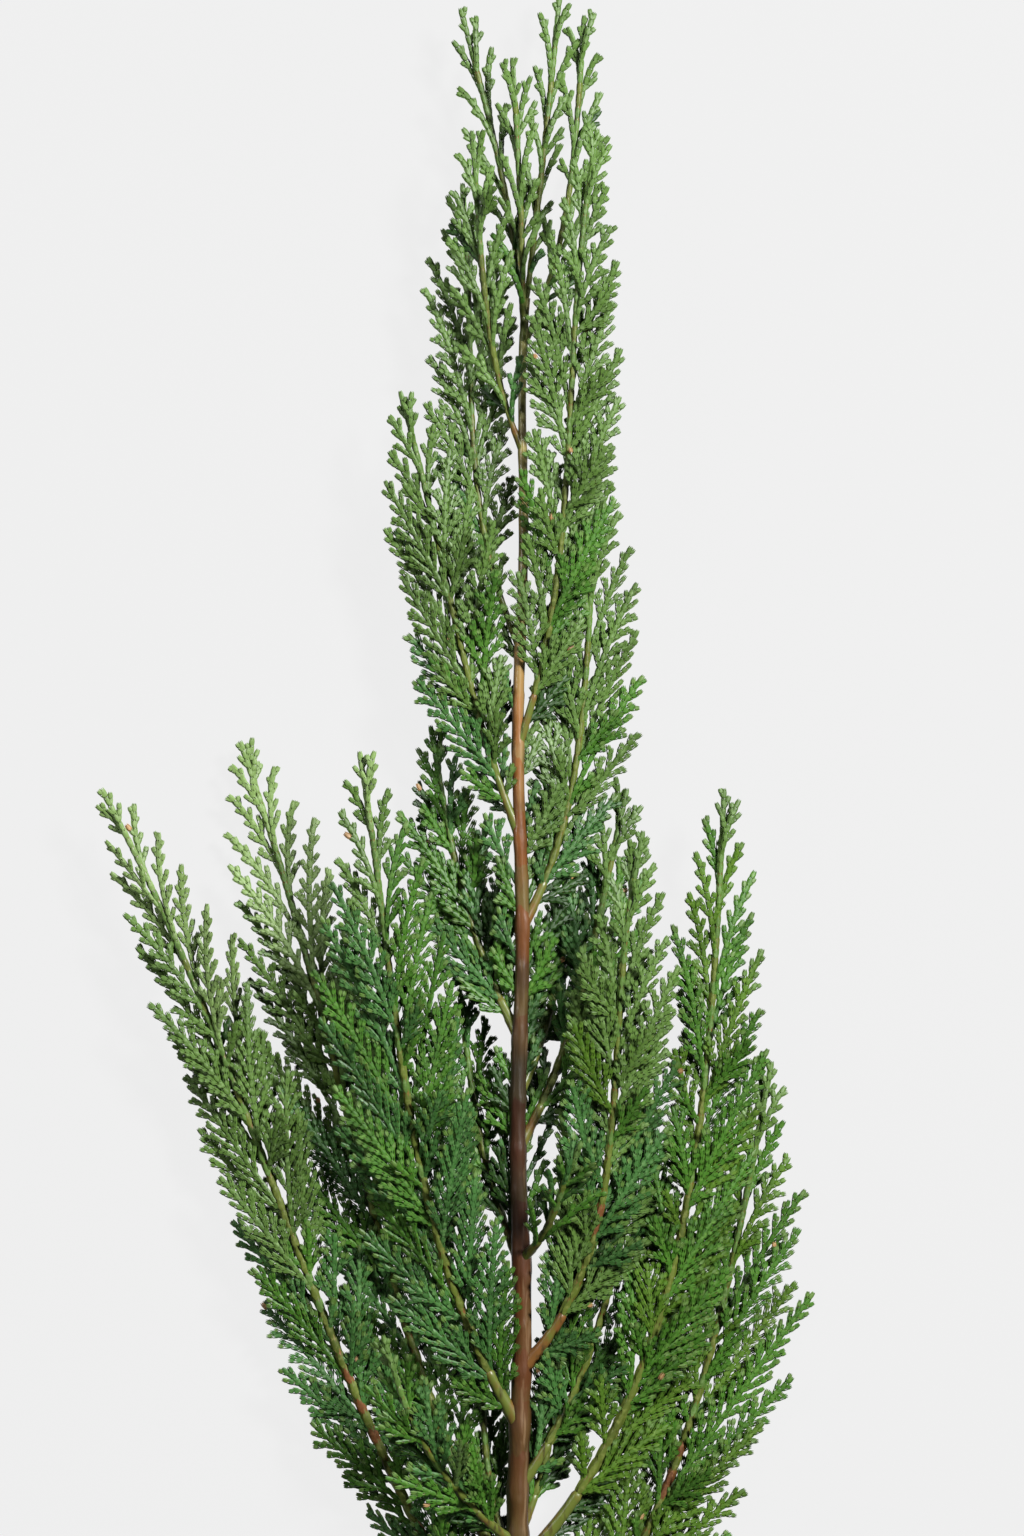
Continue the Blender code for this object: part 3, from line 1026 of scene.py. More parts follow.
@dataclass
class TwigCores:
    """The thin woody cores of one limb's axis, sprays, twigs and lobes."""

    points: list[Vector] = field(default_factory=list)
    faces: list[tuple[int, int, int]] = field(default_factory=list)
    slots: list[int] = field(default_factory=list)

    def add(
        self, line: list[Vector], radii: list[float], up: Vector, sides: int, slot: int
    ) -> None:
        """Adds a closed tube along a line, one radius a point.

        Args:
            line: the points of its middle.
            radii: its radius at each point.
            up: a direction across the line, which the rings start from.
            sides: the number of sides.
            slot: the material slot.
        """
        first = len(self.points)
        for i, (place, radius) in enumerate(zip(line, radii)):
            ahead = (line[min(i + 1, len(line) - 1)] - line[max(i - 1, 0)]).normalized()
            top = squared(up, ahead)
            across = top.cross(ahead)
            for k in range(sides):
                turn = 2 * math.pi * k / sides
                out = top * math.cos(turn) + across * math.sin(turn)
                self.points.append(place + out * radius)
        for i in range(len(line) - 1):
            ring = first + i * sides
            for k in range(sides):
                a, b = ring + k, ring + (k + 1) % sides
                self.faces += [(a, b, b + sides), (a, b + sides, a + sides)]
        last = first + (len(line) - 1) * sides
        for k in range(1, sides - 1):
            self.faces.append((first, first + k + 1, first + k))
            self.faces.append((last, last + k, last + k + 1))
        self.slots += [slot] * (len(self.faces) - len(self.slots))

    def build(
        self, name: str, origin: Vector, finishes: list[bpy.types.Material]
    ) -> bpy.types.Object:
        """Builds all tubes into one mesh, moved to the frame; see LeafCover.build."""
        points = np.array([tuple(p) for p in self.points]) + np.array(origin)
        return triangle_mesh(name, points, np.array(self.faces), np.array(self.slots), finishes)


def triangle_mesh(
    name: str,
    points: np.ndarray,
    faces: np.ndarray,
    slots: np.ndarray,
    finishes: list[bpy.types.Material],
) -> bpy.types.Object:
    """Builds a smooth-shaded object from arrays, none of it under the table.

    Args:
        name: the object's name.
        points: a row of coordinates for each point; those under the table are raised to it.
        faces: a row of three point numbers for each triangle.
        slots: the number of each triangle's finish.
        finishes: the materials.

    Returns:
        The object, with a slot for each finish that it uses.
    """
    mesh = bpy.data.meshes.new(name)
    mesh.vertices.add(len(points))
    resting = np.column_stack((points[:, :2], np.maximum(points[:, 2], 0.0)))
    mesh.vertices.foreach_set("co", resting.astype(np.float32).ravel())
    mesh.loops.add(faces.size)
    mesh.loops.foreach_set("vertex_index", faces.astype(np.int32).ravel())
    mesh.polygons.add(len(faces))
    mesh.polygons.foreach_set("loop_start", np.arange(0, faces.size, 3, dtype=np.int32))
    used = sorted(set(slots.tolist()))
    order = {slot: i for i, slot in enumerate(used)}
    for slot in used:
        mesh.materials.append(finishes[slot])
    index = np.array([order[slot] for slot in slots.tolist()], dtype=np.int32)
    mesh.polygons.foreach_set("material_index", index)
    mesh.update(calc_edges=True)
    mesh.shade_smooth()
    piece = bpy.data.objects.new(name, mesh)
    bpy.context.scene.collection.objects.link(piece)
    return piece


# Where a Mix node keeps its factor and its two colours, and its mixed colour
MIX_INPUTS = (0, 6, 7)
MIX_OUTPUT = 2


@dataclass(frozen=True)
class Grain:
    """A noise: its scale, its stretch by axis (a small number draws it out) and its detail."""

    scale: float
    stretch: Triple = (1, 1, 1)
    detail: float = 3.0


class NodeSheet:
    """Short calls that add and link the nodes of one material."""

    def __init__(self, name: str, roughness: float, shine: float = 0.5) -> None:
        """Makes the material and its Principled shader.

        Args:
            name: the material's name.
            roughness: the shader's roughness.
            shine: how strongly it mirrors.
        """
        self.material = bpy.data.materials.new(name)
        self.material.use_nodes = True
        self.tree = self.material.node_tree
        self.shader = self.tree.nodes["Principled BSDF"]
        self.shader.inputs["Roughness"].default_value = roughness
        self.shader.inputs["Specular IOR Level"].default_value = shine

    def _feed(self, socket: bpy.types.NodeSocket, value: object) -> None:
        """Links an input to a value that is a socket, or sets it to a plain one.

        Args:
            socket: the input.
            value: the value.
        """
        if isinstance(value, bpy.types.NodeSocket):
            self.tree.links.new(value, socket)
        else:
            socket.default_value = value

    def add(self, kind: str, **inputs: object) -> bpy.types.Node:
        """Adds a node; each keyword is an input to set, or to link where it is a socket.

        Args:
            kind: the node's type.
            **inputs: the inputs by name, _ for a space.

        Returns:
            The node.
        """
        node = self.tree.nodes.new(kind)
        for name, value in inputs.items():
            self._feed(node.inputs[name.replace("_", " ")], value)
        return node

    def sum_up(self, operation: str, first: object, second: object = 0.0) -> bpy.types.NodeSocket:
        """Adds a math node with two inputs, each a socket or a number.

        Args:
            operation: the node's operation.
            first: a socket or a number.
            second: the same.

        Returns:
            The result's socket.
        """
        node = self.tree.nodes.new("ShaderNodeMath")
        node.operation = operation
        for socket, value in zip(node.inputs, (first, second)):
            self._feed(socket, value)
        return node.outputs[0]

    def mottle(self, grain: Grain) -> bpy.types.NodeSocket:
        """Adds noise on Object coordinates.

        Args:
            grain: the noise.

        Returns:
            The noise's socket.
        """
        place = self.add("ShaderNodeTexCoord").outputs["Object"]
        mapped = self.add("ShaderNodeMapping", Vector=place, Scale=grain.stretch).outputs["Vector"]
        sizes = {"Scale": grain.scale, "Detail": grain.detail}
        return self.add("ShaderNodeTexNoise", Vector=mapped, **sizes).outputs["Fac"]

    def fade(
        self, source: bpy.types.NodeSocket, span: Span, most: float = 1.0
    ) -> bpy.types.NodeSocket:
        """A ramp from black at the span's start to a grey this light at its end."""
        return self.ramp(source, ((span[0], BLACK), (span[1], (most,) * 3)))

    def ramp(self, source: bpy.types.NodeSocket, stops: Stops) -> bpy.types.NodeSocket:
        """Adds a colour ramp.

        Args:
            source: what it reads.
            stops: its places, from 0 to 1, each with its colour.

        Returns:
            The colour's socket.
        """
        node = self.add("ShaderNodeValToRGB", Fac=source)
        ramp = node.color_ramp
        while len(ramp.elements) < len(stops):
            ramp.elements.new(0.5)
        for element, (place, colour) in zip(ramp.elements, stops):
            element.position = place
            element.color = (*colour, 1)
        return node.outputs["Color"]

    def mix(
        self, factor: object, first: object, second: object, blend: str = "MIX"
    ) -> bpy.types.NodeSocket:
        """Mixes two colours.

        Args:
            factor: how much of the second, a socket or a number.
            first: a socket or a plain colour.
            second: the same.
            blend: the node's blend type.

        Returns:
            The colour's socket.
        """
        node = self.tree.nodes.new("ShaderNodeMix")
        node.data_type = "RGBA"
        node.blend_type = blend
        for index, value in zip(MIX_INPUTS, (factor, first, second)):
            self._feed(node.inputs[index], value)
        return node.outputs[MIX_OUTPUT]

    def bump(self, height: bpy.types.NodeSocket, distance: float, strength: float) -> None:
        """Adds relief too fine for the mesh.

        Args:
            height: the relief.
            distance: its depth, in metres.
            strength: how much of it shows.
        """
        node = self.add("ShaderNodeBump", Height=height, Distance=distance, Strength=strength)
        self.tree.links.new(node.outputs["Normal"], self.shader.inputs["Normal"])
        self.tree.links.new(node.outputs["Normal"], self.shader.inputs["Coat Normal"])

    def colour(self, source: bpy.types.NodeSocket) -> None:
        """Links the base colour."""
        self.tree.links.new(source, self.shader.inputs["Base Color"])


@dataclass(frozen=True)
class LeafFinish:
    """A waxy scale leaf: a green that drifts darker, dusted with a paler bloom, softly shining."""

    name: str
    colour: Triple
    bloom: Triple
    deep: float = 0.60
    roughness: float = 0.50
    shine: float = 0.20
    drift: Grain = Grain(90.0)
    drift_span: Span = (0.36, 0.60)
    dust: Grain = Grain(1100.0)
    dust_span: Span = (0.50, 0.72)
    relief: Grain = Grain(3600.0)
    relief_depth: float = 0.05 * MM
    relief_strength: float = 0.6

    def material(self) -> bpy.types.Material:
        """Builds the material.

        Returns:
            The material.
        """
        sheet = NodeSheet(self.name, self.roughness, self.shine)
        deep = tuple(c * self.deep for c in self.colour)
        stops = tuple(zip(self.drift_span, (deep, self.colour)))
        drift = sheet.ramp(sheet.mottle(self.drift), stops)
        dust = sheet.fade(sheet.mottle(self.dust), self.dust_span)
        sheet.colour(sheet.mix(dust, drift, (*self.bloom, 1)))
        sheet.bump(sheet.mottle(self.relief), self.relief_depth, self.relief_strength)
        return sheet.material


@dataclass(frozen=True)
class StemFinish:
    """Bark with a thin gloss: brown at the cut, dark in its middle, orange-brown to olive above.
    The dark middle is partly a painted shadow, and the lightest bark at the top partly painted
    light.

    From one node to the next it is redder or more olive, with a ragged edge between them, and a
    painted shade darkens it on its sides and underside.
    """

    name: str = "stem_bark"
    roughness: float = 0.45
    shine: float = 0.20
    gloss: float = 0.20
    gloss_roughness: float = 0.16
    # The bark's own colours up the stem; the darkest stops in the middle are partly a painted
    # shadow of the foliage over it, and the lightest at the top partly painted light
    red_stops_with_painted_shadow_and_light: Stops = (
        (0.00, (0.041, 0.016, 0.005)),
        (0.27, (0.048, 0.017, 0.005)),
        (0.33, (0.058, 0.018, 0.005)),
        (0.39, (0.022, 0.009, 0.004)),
        (0.43, (0.026, 0.008, 0.003)),
        (0.50, (0.010, 0.005, 0.002)),
        (0.54, (0.036, 0.012, 0.003)),
        (0.60, (0.078, 0.027, 0.006)),
        (0.67, (0.092, 0.031, 0.006)),
        (0.73, (0.144, 0.062, 0.017)),
        (0.80, (0.150, 0.104, 0.030)),
        (1.00, (0.170, 0.160, 0.048)),
    )
    olive_stops_with_painted_shadow_and_light: Stops = (
        (0.00, (0.040, 0.024, 0.007)),
        (0.27, (0.048, 0.029, 0.008)),
        (0.33, (0.046, 0.027, 0.007)),
        (0.39, (0.030, 0.020, 0.008)),
        (0.46, (0.018, 0.011, 0.003)),
        (0.50, (0.012, 0.008, 0.003)),
        (0.54, (0.038, 0.022, 0.006)),
        (0.60, (0.064, 0.043, 0.011)),
        (0.66, (0.074, 0.050, 0.013)),
        (0.70, (0.132, 0.104, 0.042)),
        (0.78, (0.140, 0.112, 0.040)),
        (1.00, (0.160, 0.170, 0.046)),
    )
    patches: Grain = Grain(90.0, (3, 0.6, 3))
    mean_noise: float = 0.5
    drift: float = 0.10
    segment: float = 9.4 * MM
    unevenness: Grain = Grain(130.0, (2, 0.5, 2))
    wobble: float = 1.5
    fading: float = -0.5
    contrast: float = 1.2
    patching: float = 2.0
    kind_span: Span = (0.15, 0.95)
    spots: Grain = Grain(240.0, (1, 0.30, 1), 5.0)
    spot_span: Span = (0.52, 0.66)
    spot_most: float = 0.7
    dark: Triple = (0.022, 0.010, 0.004)
    fibres: Grain = Grain(800.0, (1, 0.08, 1), 4.0)
    fibre_span: Span = (0.58, 0.74)
    fibre_most: float = 0.6
    pale: Triple = (0.160, 0.105, 0.058)
    # Painted shade: how much of the bark's colour is kept, from its sides and underside up to its
    # top
    painted_side_shading_stops: Stops = ((0.45, (0.38,) * 3), (0.72, (0.8,) * 3), (0.95, (1.0,) * 3))
    relief: Grain = Grain(650.0, (1, 0.2, 1), 4.0)
    relief_depth: float = 0.26 * MM

    def material(self, cut: Vector, top: Vector) -> bpy.types.Material:
        """Builds the material.

        Args:
            cut: the middle of the stem's cut, where the colours start.
            top: the stem's top, where they end.

        Returns:
            The material.
        """
        sheet = NodeSheet(self.name, self.roughness, self.shine)
        sheet.shader.inputs["Coat Weight"].default_value = self.gloss
        sheet.shader.inputs["Coat Roughness"].default_value = self.gloss_roughness
        place = sheet.add("ShaderNodeTexCoord").outputs["Object"]
        height = sheet.add("ShaderNodeSeparateXYZ", Vector=place).outputs["Y"]
        along = sheet.sum_up("SUBTRACT", height, cut.y)
        patches = sheet.sum_up("SUBTRACT", sheet.mottle(self.patches), self.mean_noise)
        share = sheet.sum_up("DIVIDE", along, top.y - cut.y)
        drifted = sheet.sum_up("ADD", share, sheet.sum_up("MULTIPLY", patches, self.drift))
        red = sheet.ramp(drifted, self.red_stops_with_painted_shadow_and_light)
        olive = sheet.ramp(drifted, self.olive_stops_with_painted_shadow_and_light)
        kind = self._kind(sheet, along, patches)
        base = sheet.mix(sheet.fade(kind, self.kind_span), red, olive)
        spots = sheet.fade(sheet.mottle(self.spots), self.spot_span, self.spot_most)
        aged = sheet.mix(spots, base, (*self.dark, 1))
        fibres = sheet.fade(sheet.mottle(self.fibres), self.fibre_span, self.fibre_most)
        streaked = sheet.mix(fibres, aged, (*self.pale, 1))
        # Painted shade: the colour is darkened on the bark's sides and underside, by how far it
        # faces up
        painted_side_shading = sheet.add("ShaderNodeAttribute")
        painted_side_shading.attribute_name = PAINTED_SIDE_SHADING
        sides = sheet.ramp(painted_side_shading.outputs["Fac"], self.painted_side_shading_stops)
        sheet.colour(sheet.mix(1.0, streaked, sides, "MULTIPLY"))
        sheet.bump(sheet.mottle(self.relief), self.relief_depth, 1.0)
        return sheet.material

    def _kind(
        self, sheet: NodeSheet, along: bpy.types.NodeSocket, patches: bpy.types.NodeSocket
    ) -> bpy.types.NodeSocket:
        """Deals each stretch between two nodes its own mix of the redder and the olive bark.

        Args:
            sheet: the material's nodes.
            along: the distance from the cut.
            patches: the noise that breaks the mix up.

        Returns:
            The share of the olive bark.
        """
        uneven = sheet.sum_up("MULTIPLY", sheet.mottle(self.unevenness), self.wobble)
        turned = sheet.sum_up("ADD", sheet.sum_up("DIVIDE", along, self.segment), uneven)
        dealt = sheet.add("ShaderNodeTexWhiteNoise")
        dealt.noise_dimensions = "1D"
        sheet.tree.links.new(sheet.sum_up("FLOOR", turned), dealt.inputs["W"])
        fading = sheet.sum_up("MULTIPLY", sheet.sum_up("FRACT", turned), self.fading)
        kind = sheet.sum_up("MULTIPLY", dealt.outputs["Value"], self.contrast)
        kind = sheet.sum_up("ADD", kind, fading)
        return sheet.sum_up("ADD", kind, sheet.sum_up("MULTIPLY", patches, self.patching))


@dataclass(frozen=True)
class CutWoodFinish:
    """The clean cut: pale wood in faint rings, a brown pith and a green edge under the bark."""

    name: str = "cut_wood"
    roughness: float = 0.55
    grain: Grain = Grain(2600.0)
    relief_depth: float = 0.08 * MM
    relief_strength: float = 0.6
    stops: Stops = (
        (0.00, (0.090, 0.045, 0.020)),
        (0.09, (0.300, 0.220, 0.120)),
        (0.30, (0.230, 0.160, 0.080)),
        (0.34, (0.330, 0.250, 0.140)),
        (0.60, (0.240, 0.170, 0.085)),
        (0.64, (0.330, 0.250, 0.140)),
        (0.86, (0.280, 0.220, 0.110)),
        (0.91, (0.090, 0.120, 0.030)),
        (0.97, (0.050, 0.025, 0.012)),
    )

    def material(self, middle: Vector, radius: float) -> bpy.types.Material:
        """Builds the material.

        Args:
            middle: the middle of the cut.
            radius: its radius.

        Returns:
            The material.
        """
        sheet = NodeSheet(self.name, self.roughness)
        place = sheet.add("ShaderNodeTexCoord").outputs["Object"]
        away = sheet.add("ShaderNodeVectorMath")
        away.operation = "DISTANCE"
        sheet.tree.links.new(place, away.inputs[0])
        away.inputs[1].default_value = middle
        share = sheet.add("ShaderNodeMapRange", Value=away.outputs["Value"], From_Max=radius)
        sheet.colour(sheet.ramp(share.outputs["Result"], self.stops))
        sheet.bump(sheet.mottle(self.grain), self.relief_depth, self.relief_strength)
        return sheet.material


@dataclass(frozen=True)
class GreenBarkFinish:
    """The bark of a limb: brown where it is woody, olive and yellow-green where it is young."""

    name: str
    brown: Triple = (0.086, 0.038, 0.010)
    olive: Triple = (0.058, 0.072, 0.012)
    dark: Triple = (0.024, 0.018, 0.006)
    roughness: float = 0.36
    shine: float = 0.26
    age: float = 0.5
    patches: Grain = Grain(260.0, (1, 0.6, 1))
    olive_at: float = 0.16
    brown_at: float = 0.36
    cracks: Grain = Grain(900.0, (1, 0.2, 1), 4.0)
    crack_span: Span = (0.56, 0.70)
    relief_depth: float = 0.12 * MM
    relief_strength: float = 0.8

    def material(self) -> bpy.types.Material:
        """Builds the material.

        Returns:
            The material.
        """
        sheet = NodeSheet(self.name, self.roughness, self.shine)
        patches = sheet.mottle(self.patches)
        low = (1 - self.age) / 2
        stops = ((low + self.olive_at, self.olive), (low + self.brown_at, self.brown))
        base = sheet.ramp(patches, stops)
        cracks = sheet.mottle(self.cracks)
        sheet.colour(sheet.mix(sheet.fade(cracks, self.crack_span), base, (*self.dark, 1)))
        sheet.bump(cracks, self.relief_depth, self.relief_strength)
        return sheet.material


@dataclass(frozen=True)
class TableFinish:
    """An opal light table, matt and evenly lit from below, so that shadows on it stay faint."""

    name: str = "pale_table"
    colour: Triple = (0.008, 0.008, 0.008)
    glow: float = 0.83
    roughness: float = 0.9
    shine: float = 0.1
    clouds: Grain = Grain(3.0)
    cloud_span: Span = (0.3, 0.7)
    cloud_share: float = 0.985

    def material(self) -> bpy.types.Material:
        """Builds the material.

        Returns:
            The material.
        """
        sheet = NodeSheet(self.name, self.roughness, self.shine)
        sheet.shader.inputs["Emission Color"].default_value = (1.0, 1.0, 1.0, 1)
        sheet.shader.inputs["Emission Strength"].default_value = self.glow
        clouded = tuple(c * self.cloud_share for c in self.colour)
        stops = tuple(zip(self.cloud_span, (clouded, self.colour)))
        sheet.colour(sheet.ramp(sheet.mottle(self.clouds), stops))
        return sheet.material


LEAF_FINISHES = [
    LeafFinish("leaf_bloom", (0.023, 0.072, 0.014), (0.054, 0.112, 0.034)),
    LeafFinish("leaf_green", (0.025, 0.077, 0.006), (0.050, 0.109, 0.016)),
    LeafFinish("leaf_fresh", (0.035, 0.079, 0.005), (0.059, 0.104, 0.013)),
    # A painted shade: a dark green for sprays that lie in shade
    LeafFinish("leaf_painted_shade", (0.009, 0.030, 0.003), (0.018, 0.046, 0.008)),
    LeafFinish("leaf_young", (0.045, 0.088, 0.015), (0.075, 0.123, 0.038), deep=0.68),
    LeafFinish("leaf_tip", (0.088, 0.142, 0.038), (0.128, 0.180, 0.074), deep=0.76),
    LeafFinish("leaf_dry", (0.200, 0.115, 0.045), (0.260, 0.170, 0.090)),
    LeafFinish("axis_scale", (0.054, 0.072, 0.009), (0.084, 0.096, 0.022)),
    LeafFinish("woody_scale", (0.085, 0.032, 0.009), (0.120, 0.056, 0.022)),
]


AXIS_FINISHES = [GreenBarkFinish("axis_bark", age=0.35), GreenBarkFinish("twig_bark", age=0.1)]

# The slots of these two in a limb's twig cores, and of the cut in the stem
AXIS_SLOT, TWIG_SLOT = 0, 1
CUT_SLOT = 1


@dataclass(frozen=True)
class Twig:
    """One grown twig: its line, its plane's upright, its side and the seed of its lobes."""

    line: Path
    up: Vector
    side: int
    seed: float


@dataclass
class Foliage:
    """One limb's leafy part: its axis, and the sprays, twigs and lobes that grow on from it.

    The thicket holds what all masses have grown, and woody is the room that all wood needs.
    """

    limb: Limb
    stem: Stem
    path: Path
    limb_rule: LimbRule
    rule: SprayRule
    twig_rule: TwigRule
    inner_rule: InnerRule
    axis_rule: AxisRule
    thicket: Thicket
    woody: HeldSpace
    cover: LeafCover = field(default_factory=LeafCover)
    cores: TwigCores = field(default_factory=TwigCores)
    sprays: list[Spray] = field(default_factory=list)

    def find_room(self, taken: list[HeldSpace]) -> HeldSpace:
        """Keeps the sprays that find room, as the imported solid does.

        Args:
            taken: what the stem, the other limbs and the earlier masses hold.

        Returns:
            What this mass holds.
        """
        begin = self.limb.bare * MM if self.limb.bare else self.rule.gap
        steps = round(self.path.total / self.rule.sample_step)
        held = self.path.stretch(begin, self.path.total, steps)
        for spray in self.rule.sprays(self.limb, self.path):
            for share in self.rule.shares:
                length = spray.length * share
                samples = self.rule.samples(spray, length)
                if not any(space.crowds(samples) for space in taken):
                    self.sprays.append(replace(spray, length=length))
                    held += samples
                    break
        return HeldSpace(held, [self.rule.clearance] * len(held))

    def grow(self) -> None:
        """Grows the axis and every kept spray."""
        self._axis()
        for i, spray in enumerate(self.sprays):
            owner = f"{self.limb.name} {i}"
            turn = self.twig_rule.turn * random.Random(owner + " turn").uniform(-1, 1)
            spray = replace(spray, up=Matrix.Rotation(turn, 3, spray.heading) @ spray.up)
            if spray.terminal:
                line = self._bowed(spray, 0.0, self.twig_rule.bowed_steps)
            else:
                cycle = self.twig_rule.layer_cycle
                line = self._spray_line(spray, 1 if i % cycle < cycle / 2 else -1, owner)
            self._spray(spray, line, owner)

    def fill(self) -> None:
        """Grows short inner shoots above and below the sprays, where they find room."""
        rule = self.inner_rule
        draw = random.Random(self.limb.name + " inner")
        youth = self.twig_rule.youth(self.limb, 0.0)
        spacing = blend(rule.spacing, rule.slender_spacing, youth)
        distance = rule.first_share * self.limb.bare * MM + spacing
        side = -1 if self.limb.side < 0 else 1
        count = 0
        while distance < rule.last_share * self.path.total:
            start, direction = self.path.at(distance)
            size = min(1.0, self.limb.longest / rule.full_limb)
            length = draw.uniform(rule.shortest, rule.longest) * size
            share = distance / self.path.total
            outline = self.rule.spray_length(self.limb, self.path.total - distance, share)
            length = min(length, rule.within * outline)
            angle = rule.angle * draw.uniform(*rule.angle_variation)
            rise = draw.uniform(rule.least_rise, rule.most_rise)
            rise *= -1 if draw.random() < rule.below else 1
            heading, normal = parted(direction, math.radians(self.limb.roll), side, angle, rise)
            twist = Matrix.Rotation(rule.twist * draw.uniform(-1, 1), 3, heading)
            up = twist @ squared(normal, heading)
            # Shoots below the sprays often get the painted shade colour, as they lie in their shade
            tint = Tint.SHADE if rise < 0 and draw.random() < rule.painted_shade_chance * (1 - share) else None
            shoot = Spray(start, heading, up, length, side, share)
            owner = f"{self.limb.name} inner {count}"
            self._inner_shoot(shoot, rule.tested_from, owner, tint)
            near = distance < rule.close_reach and self.limb.tone is not Tone.YOUNG
            between = rule.close_spacing if near else spacing
            distance += between * draw.uniform(*rule.spacing_variation)
            side = -side
            count += 1

    def fill_beside_stem(self) -> None:
        """Grows short shoots from the stem above the limb's foot, where they find room."""
        rule = self.inner_rule
        draw = random.Random(self.limb.name + " beside stem")
        if not rule.beside_from < self.limb.start * MM < rule.beside_until or not self.limb.bare:
            return
        side = -1 if self.limb.side < 0 else 1
        for i in range(rule.beside_count):
            above = rule.beside_spacing * (i + rule.beside_first)
            start = self.stem.point(self.limb.start * MM + above)
            angle = rule.beside_angle * draw.uniform(*rule.beside_variation)
            rise = rule.beside_rise * draw.uniform(*rule.beside_rises)
            heading = Vector((side * math.sin(angle), math.cos(angle), 0)) * math.cos(rise)
            heading.z = math.sin(rise)
            _, up = flat_frame(heading, rule.twist * draw.uniform(-1, 1))
            length = draw.uniform(rule.beside_shortest, rule.beside_longest)
            shoot = Spray(start, heading, up, length, side, rule.beside_share)
            owner = f"{self.limb.name} beside {i}"
            self._inner_shoot(shoot, rule.beside_tested_from, owner, None)

    def _inner_shoot(
        self, shoot: Spray, tested_from: float, owner: str, tint: Tint | None
    ) -> None:
        """Grows one inner shoot as long as its room lets it be, or none.

        Args:
            shoot: the shoot at its full length.
            tested_from: the share of its length from which it has to find room.
            owner: its name in the thicket.
            tint: its colour, where the limb's tone doesn't deal it.
        """
        rule = self.inner_rule
        draw = random.Random(owner + " line")
        for share in rule.shares:
            size = shoot.length * share
            ahead = self.rule.lifted(shoot.heading, shoot.start, size)
            line = []
            for i in range(rule.tests + 1):
                place = tested_from + (1 - tested_from) * i / rule.tests
                line.append(shoot.start + ahead * (size * place))
            if self._free(line, rule.room, ""):
                square = squared(shoot.up, ahead)
                spray = replace(shoot, heading=ahead, up=square, length=size)
                curl = self.twig_rule.curl * draw.uniform(-1, 1)
                bow = spray.side * self.rule.bow
                axis = self._bowed(spray, bow, self.twig_rule.bowed_steps, curl)
                self._spray(spray, axis, owner, tint)
                return

    def _axis(self) -> None:
        """The limb's own axis, with long scale leaves pressed to it."""
        rule, limb, total = self.axis_rule, self.limb, self.path.total
        begin = limb.bare * MM if limb.bare else 0.0
        end = total - self.rule.tip_spray
        steps = max(rule.least_steps, round((end - begin) / rule.core_step))
        line = self.path.stretch(begin, end, steps)
        radii = []
        for i in range(steps + 1):
            distance = begin + (end - begin) * i / steps
            radius = self.limb_rule.drawn_radius(limb, self.stem, distance / total)
            radii.append(rule.core_share * radius)
        _, normal = flat_frame(self.path.at(begin)[1], math.radians(limb.roll))
        self.cores.add(line, radii, normal, rule.core_sides, AXIS_SLOT)
        distance = begin
        draw = random.Random(limb.name + " axis")
        while distance < end:
            share = distance / total
            step = (rule.leaf_mm_at_foot - rule.leaf_mm_loss * share) * MM
            step *= draw.uniform(*rule.leaf_variation)
            place, _ = self.path.at(distance)
            ahead = (self.path.at(distance + step)[0] - place).normalized()
            _, up = flat_frame(ahead, math.radians(limb.roll))
            width = 2 * self.limb_rule.drawn_radius(limb, self.stem, share) + rule.beyond_bark
            tint = self._axis_tint(share, draw)
            size = (step * rule.overlap, width, width * rule.flatness)
            self.cover.add(place, ahead, up, size, tint)
            distance += step

    def _axis_tint(self, share: float, draw: random.Random) -> Tint:
        """An axis is brown in patches at its foot, then yellow-green, and as its end at its top.

        Args:
            share: how far along the limb, from 0 to 1.
            draw: the axis's random draws.

        Returns:
            The colour.
        """
        rule = self.axis_rule
        if draw.random() < max(0.0, rule.woody_at_foot + self.limb.woody - rule.woody_loss * share):
            return Tint.WOODY
        if draw.random() < rule.green_at_foot - rule.green_loss * share:
            return Tint.AXIS
        return self._end_tint() if share > rule.end_from else Tint.YOUNG

    def _end_tint(self) -> Tint:
        """The leaf colour of the limb's leading shoot.

        Returns:
            The colour.
        """
        if self.limb.tone is Tone.DIM:
            return Tint.GREEN
        return Tint.TIP if self.limb.tone in (Tone.PALE, Tone.COOL) else Tint.YOUNG

    def _tint(self, spray: Spray, draw: random.Random) -> Tint:
        """Deals a colour to a spray by the limb's tone, that of the limb's end towards its tip.

        Args:
            spray: the spray.
            draw: its random draws.

        Returns:
            The colour.
        """
        *shares, young_from, end_from = self.limb.tone.value
        place = spray.share + self.twig_rule.tone_drift * draw.uniform(-1, 1)
        if place > end_from:
            return self._end_tint()
        if place > young_from:
            return Tint.YOUNG
        return draw.choices(list(Tint)[: len(shares)], shares)[0]

    def _cover(
        self, line: Path, up: Vector, scales: Scales, tint: Tint, draw: random.Random
    ) -> None:
        """Covers a line with whorls of scale leaves, the last one closing it and now and then dry.

        Args:
            line: the line.
            up: the upright of its plane.
            scales: the size of its whorls.
            tint: their colour.
            draw: the spray's random draws.
        """
        count = max(1, round(line.total / scales.step))
        step = line.total / count
        for i in range(count):
            place, _ = line.at(i * step)
            ahead = (line.at((i + 1) * step)[0] - place).normalized()
            square = squared(up, ahead)
            width = scales.foot_width + (scales.tip_width - scales.foot_width) * i / count
            width *= draw.uniform(*self.twig_rule.width_variation)
            last = i == count - 1
            shown = self._last_tint(tint, draw) if last else tint
            size = (step, width, width * scales.flatness)
            self.cover.add(place, ahead, square, size, shown, scales.small, last)

